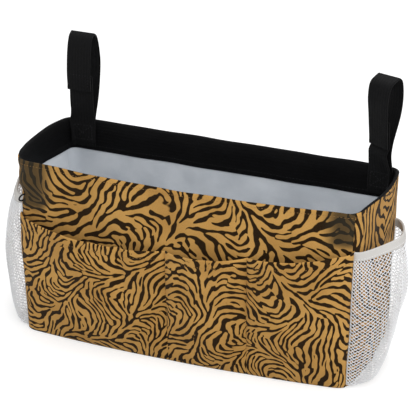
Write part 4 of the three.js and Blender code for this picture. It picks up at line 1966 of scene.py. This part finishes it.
    def sew(self, tab: Place, flap: Place) -> None:
        """Sews a crossed box through the foot, and a box round the patch on the flap.

        Args:
            tab: the tab's surface.
            flap: the flap's surface.
        """
        half = self.width / 2.0 - self.stitch_margin
        low, high = self.foot_box
        crossed = [((low, -half), (high, half)), ((low, half), (high, -half))]
        patch_share = (self.tab_top - self.flap_foot) / self.runs_along(self.flap_line())[1][-1]
        flap_box = (1.0 - patch_share - self.flap_box_gap, self.flap_box_end)
        seams = (
            ("foot", tab, [*self.outline(low, high, half), *crossed], "caddy"),
            ("flap", flap, self.outline(*flap_box, half), f"{self.word}_flap"),
        )
        for name, place, sides, body in seams:
            rows = []
            for start, end in sides:
                a, b = np.linspace(start, end, self.stitch_samples).T
                normal = -self.facing(place, a, b)
                rows.append((place(a, b) + normal * self.thickness / 2.0, normal))
            thread = self.stitching.sew(f"{self.word}_{name}_stitches", rows)
            dress(thread, self.finishes.black_thread, "black_webbing", body)

    @staticmethod
    def outline(low: float, high: float, half: float) -> list[tuple[tuple[float, float], ...]]:
        """The four sides of a box on a strip, as pairs of places along and across it."""
        corners = [(low, -half), (high, -half), (high, half), (low, half)]
        return list(zip(corners, [*corners[1:], corners[0]]))


@dataclass
class SeamCord:
    """The small cord loop whose two ends are held in the left front seam."""

    shape: BoxShape
    finishes: Finishes
    thickness: float = 0.0016
    reach: float = 0.005
    span: float = 0.006
    drop: float = 0.041
    along: float = 0.006
    quarters: float = 1.15
    reach_rate: float = 0.87
    roundness: float = 0.8
    samples: int = 40
    sides: int = 12
    outward: float = 0.01
    upward: float = 0.003

    def build(self) -> None:
        """Makes the loop: its height is a sine of its turn, and its reach a power of a cosine of it."""
        turn = np.linspace(-self.quarters, self.quarters, self.samples) * math.pi / 2.0
        height = self.shape.height - self.drop + self.span / 2.0 * np.sin(turn)
        stand = np.clip(np.cos(turn * self.reach_rate), 0.0, None) ** self.roundness
        out = self.thickness / 2.0 + self.reach * stand
        share = np.full(turn.shape, self.along)
        line = self.shape.place(Side.FRONT, share, height, out)
        away = self.shape.place(Side.FRONT, share, height, out + self.outward) - line + UP * self.upward
        across = unit(np.cross(np.gradient(line, axis=0), away))
        loop = tubes("seam_cord", line[None], across[None], self.thickness / 2.0, self.sides)
        dress(loop, self.finishes.cord, "black_cord", "caddy", "side_cord_loop")


# The studio


@dataclass(frozen=True)
class Lamp:
    """A square lamp that faces the caddy: its name, place, edge and power."""

    name: str
    place: tuple[float, float, float]
    size: float
    power: float


@dataclass
class Studio:
    """Floor, lamps and the photograph's camera."""

    azimuth: float = 23.1
    elevation: float = 23.43
    distance: float = 2.5243
    lens: float = 225.0
    sensor: float = 36.0
    clip_start: float = 0.1
    clip_end: float = 20.0
    aim: tuple[float, float, float] = (0.0, 0.0, 0.1)
    right_shift: float = -0.00121
    up_shift: float = -0.03069
    ambient: float = 0.62
    floor_drop: float = 0.0006
    floor_size: float = 4.0
    floor_colour: Colour = (0.6, 0.6, 0.6, 1.0)
    floor_glow: Colour = (0.5, 0.5, 0.5, 1.0)
    lamps: tuple[Lamp, ...] = (
        Lamp("key", (1.1, -1.9, 1.7), 1.0, 26.0),
        Lamp("fill", (-1.7, -1.3, 1.1), 1.2, 9.0),
        Lamp("side", (2.2, -0.4, 0.9), 1.2, 16.0),
        Lamp("top", (0.2, 0.3, 2.0), 1.2, 16.0),
    )

    def camera(self) -> None:
        """Places the camera on a line through the aim, moved square to it so that the frame fits."""
        turn, rise = math.radians(self.azimuth), math.radians(self.elevation)
        back = np.array([math.sin(turn) * math.cos(rise), -math.cos(turn) * math.cos(rise), math.sin(rise)])
        right = np.array([math.cos(turn), math.sin(turn), 0.0])
        up = np.cross(back, right)
        lens = bpy.data.cameras.new("camera")
        lens.lens, lens.sensor_width = self.lens, self.sensor
        lens.clip_start, lens.clip_end = self.clip_start, self.clip_end
        camera = bpy.data.objects.new("camera", lens)
        shift = right * self.right_shift + up * self.up_shift
        camera.location = np.array(self.aim) + back * self.distance - shift
        camera.rotation_euler = (math.pi / 2.0 - rise, 0.0, turn)
        bpy.context.scene.collection.objects.link(camera)
        bpy.context.scene.camera = camera

    def light(self, lamp: Lamp) -> None:
        """Adds a lamp.

        Args:
            lamp: its sizes.
        """
        light = bpy.data.lights.new(lamp.name, "AREA")
        light.size, light.energy = lamp.size, lamp.power
        stand = bpy.data.objects.new(lamp.name, light)
        stand.location = lamp.place
        heading = Vector(self.aim) - stand.location
        stand.rotation_euler = heading.to_track_quat("-Z", "Y").to_euler()
        bpy.context.scene.collection.objects.link(stand)

    def world(self) -> None:
        """A plain pale surround that looks white."""
        world = bpy.data.worlds.new("surround")
        bpy.context.scene.world = world
        nodes = Nodes(world)
        shed = nodes.node("ShaderNodeBackground", {"Color": WHITE, "Strength": self.ambient})
        seen = nodes.node("ShaderNodeBackground", {"Color": WHITE, "Strength": 1.0})
        inputs = {0: nodes.seen_share(), 1: shed.outputs[0], 2: seen.outputs[0]}
        mix = nodes.node("ShaderNodeMixShader", inputs)
        nodes.node("ShaderNodeOutputWorld", {"Surface": mix.outputs[0]})

    def floor(self) -> None:
        """A pale floor that looks white apart from the caddy's shadow."""
        signs = np.array([[-1.0, -1.0], [1.0, -1.0], [1.0, 1.0], [-1.0, 1.0]])
        flat = signs * self.floor_size / 2.0
        corners = np.insert(flat, 2, -self.floor_drop, axis=1)
        floor = mesh_of("floor", corners, [np.arange(4)[None]], flat, {})
        material = bpy.data.materials.new("pale_floor")
        nodes = Nodes(material)
        matt = nodes.node("ShaderNodeBsdfDiffuse", {"Color": self.floor_colour})
        glow = nodes.node("ShaderNodeEmission", {"Color": self.floor_glow, "Strength": nodes.seen_share()})
        both = nodes.node("ShaderNodeAddShader", {0: matt.outputs[0], 1: glow.outputs[0]})
        nodes.node("ShaderNodeOutputMaterial", {"Surface": both.outputs[0]})
        floor.data.materials.append(material)

    def build(self) -> None:
        """Makes the whole studio."""
        bpy.context.scene.view_settings.view_transform = "Standard"
        self.camera()
        self.world()
        self.floor()
        for lamp in self.lamps:
            self.light(lamp)


def main() -> None:
    """Builds the caddy and its studio."""
    logging.basicConfig(level=logging.INFO, format="%(name)s %(message)s")
    Studio().build()
    shape = BoxShape()
    finishes = Finishes()
    walls = Walls(shape, finishes)
    walls.build()
    walls.build_floor()
    walls.sew()
    RimFacing(shape, finishes).build()
    first, last = DIVIDER_SHARES
    pocket = partial(FrontPocket, shape, finishes)
    wide_folds = (Fold(0.73, 0.0042, 0.028), Fold(0.2, 0.0012, 0.06))
    wide = pocket("wide_pocket", "front_pocket_left", 0.0, first, 0.016, wide_folds)
    middle = pocket("middle_pocket", "front_pocket_middle", first, last, 0.013, (Fold(0.22, 0.0015, 0.08),))
    pens = pocket("pen_pocket", "front_pocket_pens", last, 1.0, 0.013, (Fold(0.6, 0.0014, 0.08),))
    for piece in (wide, middle, pens):
        piece.build()
    Dividers(shape, finishes, wide).build()
    for end in End:
        NetPocket(shape, finishes, end).build()
    HangingLoop(
        shape,
        finishes,
        End.LEFT,
        along=-0.156,
        ahead=0.0,
        rear=((-0.0008, 0.0065), (-0.0083, 0.0279), (-0.0128, 0.0558), (-0.0106, 0.0744), (-0.0058, 0.0878)),
        crown=(0.0, 0.0922),
        front=((0.0058, 0.0878), (0.0098, 0.0744), (0.0115, 0.0558), (0.0112, 0.0454), (0.0102, 0.035)),
        tab_low=((0.0022, 0.0), (0.0050, 0.018)),
    ).build()
    HangingLoop(
        shape,
        finishes,
        End.RIGHT,
        along=0.158,
        ahead=0.0022,
        rear=((0.0, 0.0065), (-0.0017, 0.0279), (-0.0090, 0.0558), (-0.0105, 0.0744), (-0.0081, 0.0883)),
        crown=(-0.0032, 0.093),
        front=((0.0088, 0.0883), (0.0111, 0.0744), (0.0089, 0.0558), (0.0070, 0.040), (0.0051, 0.024)),
        tab_low=((0.0032, 0.0), (0.0036, 0.010), (0.0040, 0.017)),
        tab_shift=-0.0015,
        sideways=0.004,
        foot_turn=28.6,
        crown_turn=15.4,
    ).build()
    SeamCord(shape, finishes).build()


if __name__ == "__main__":
    main()
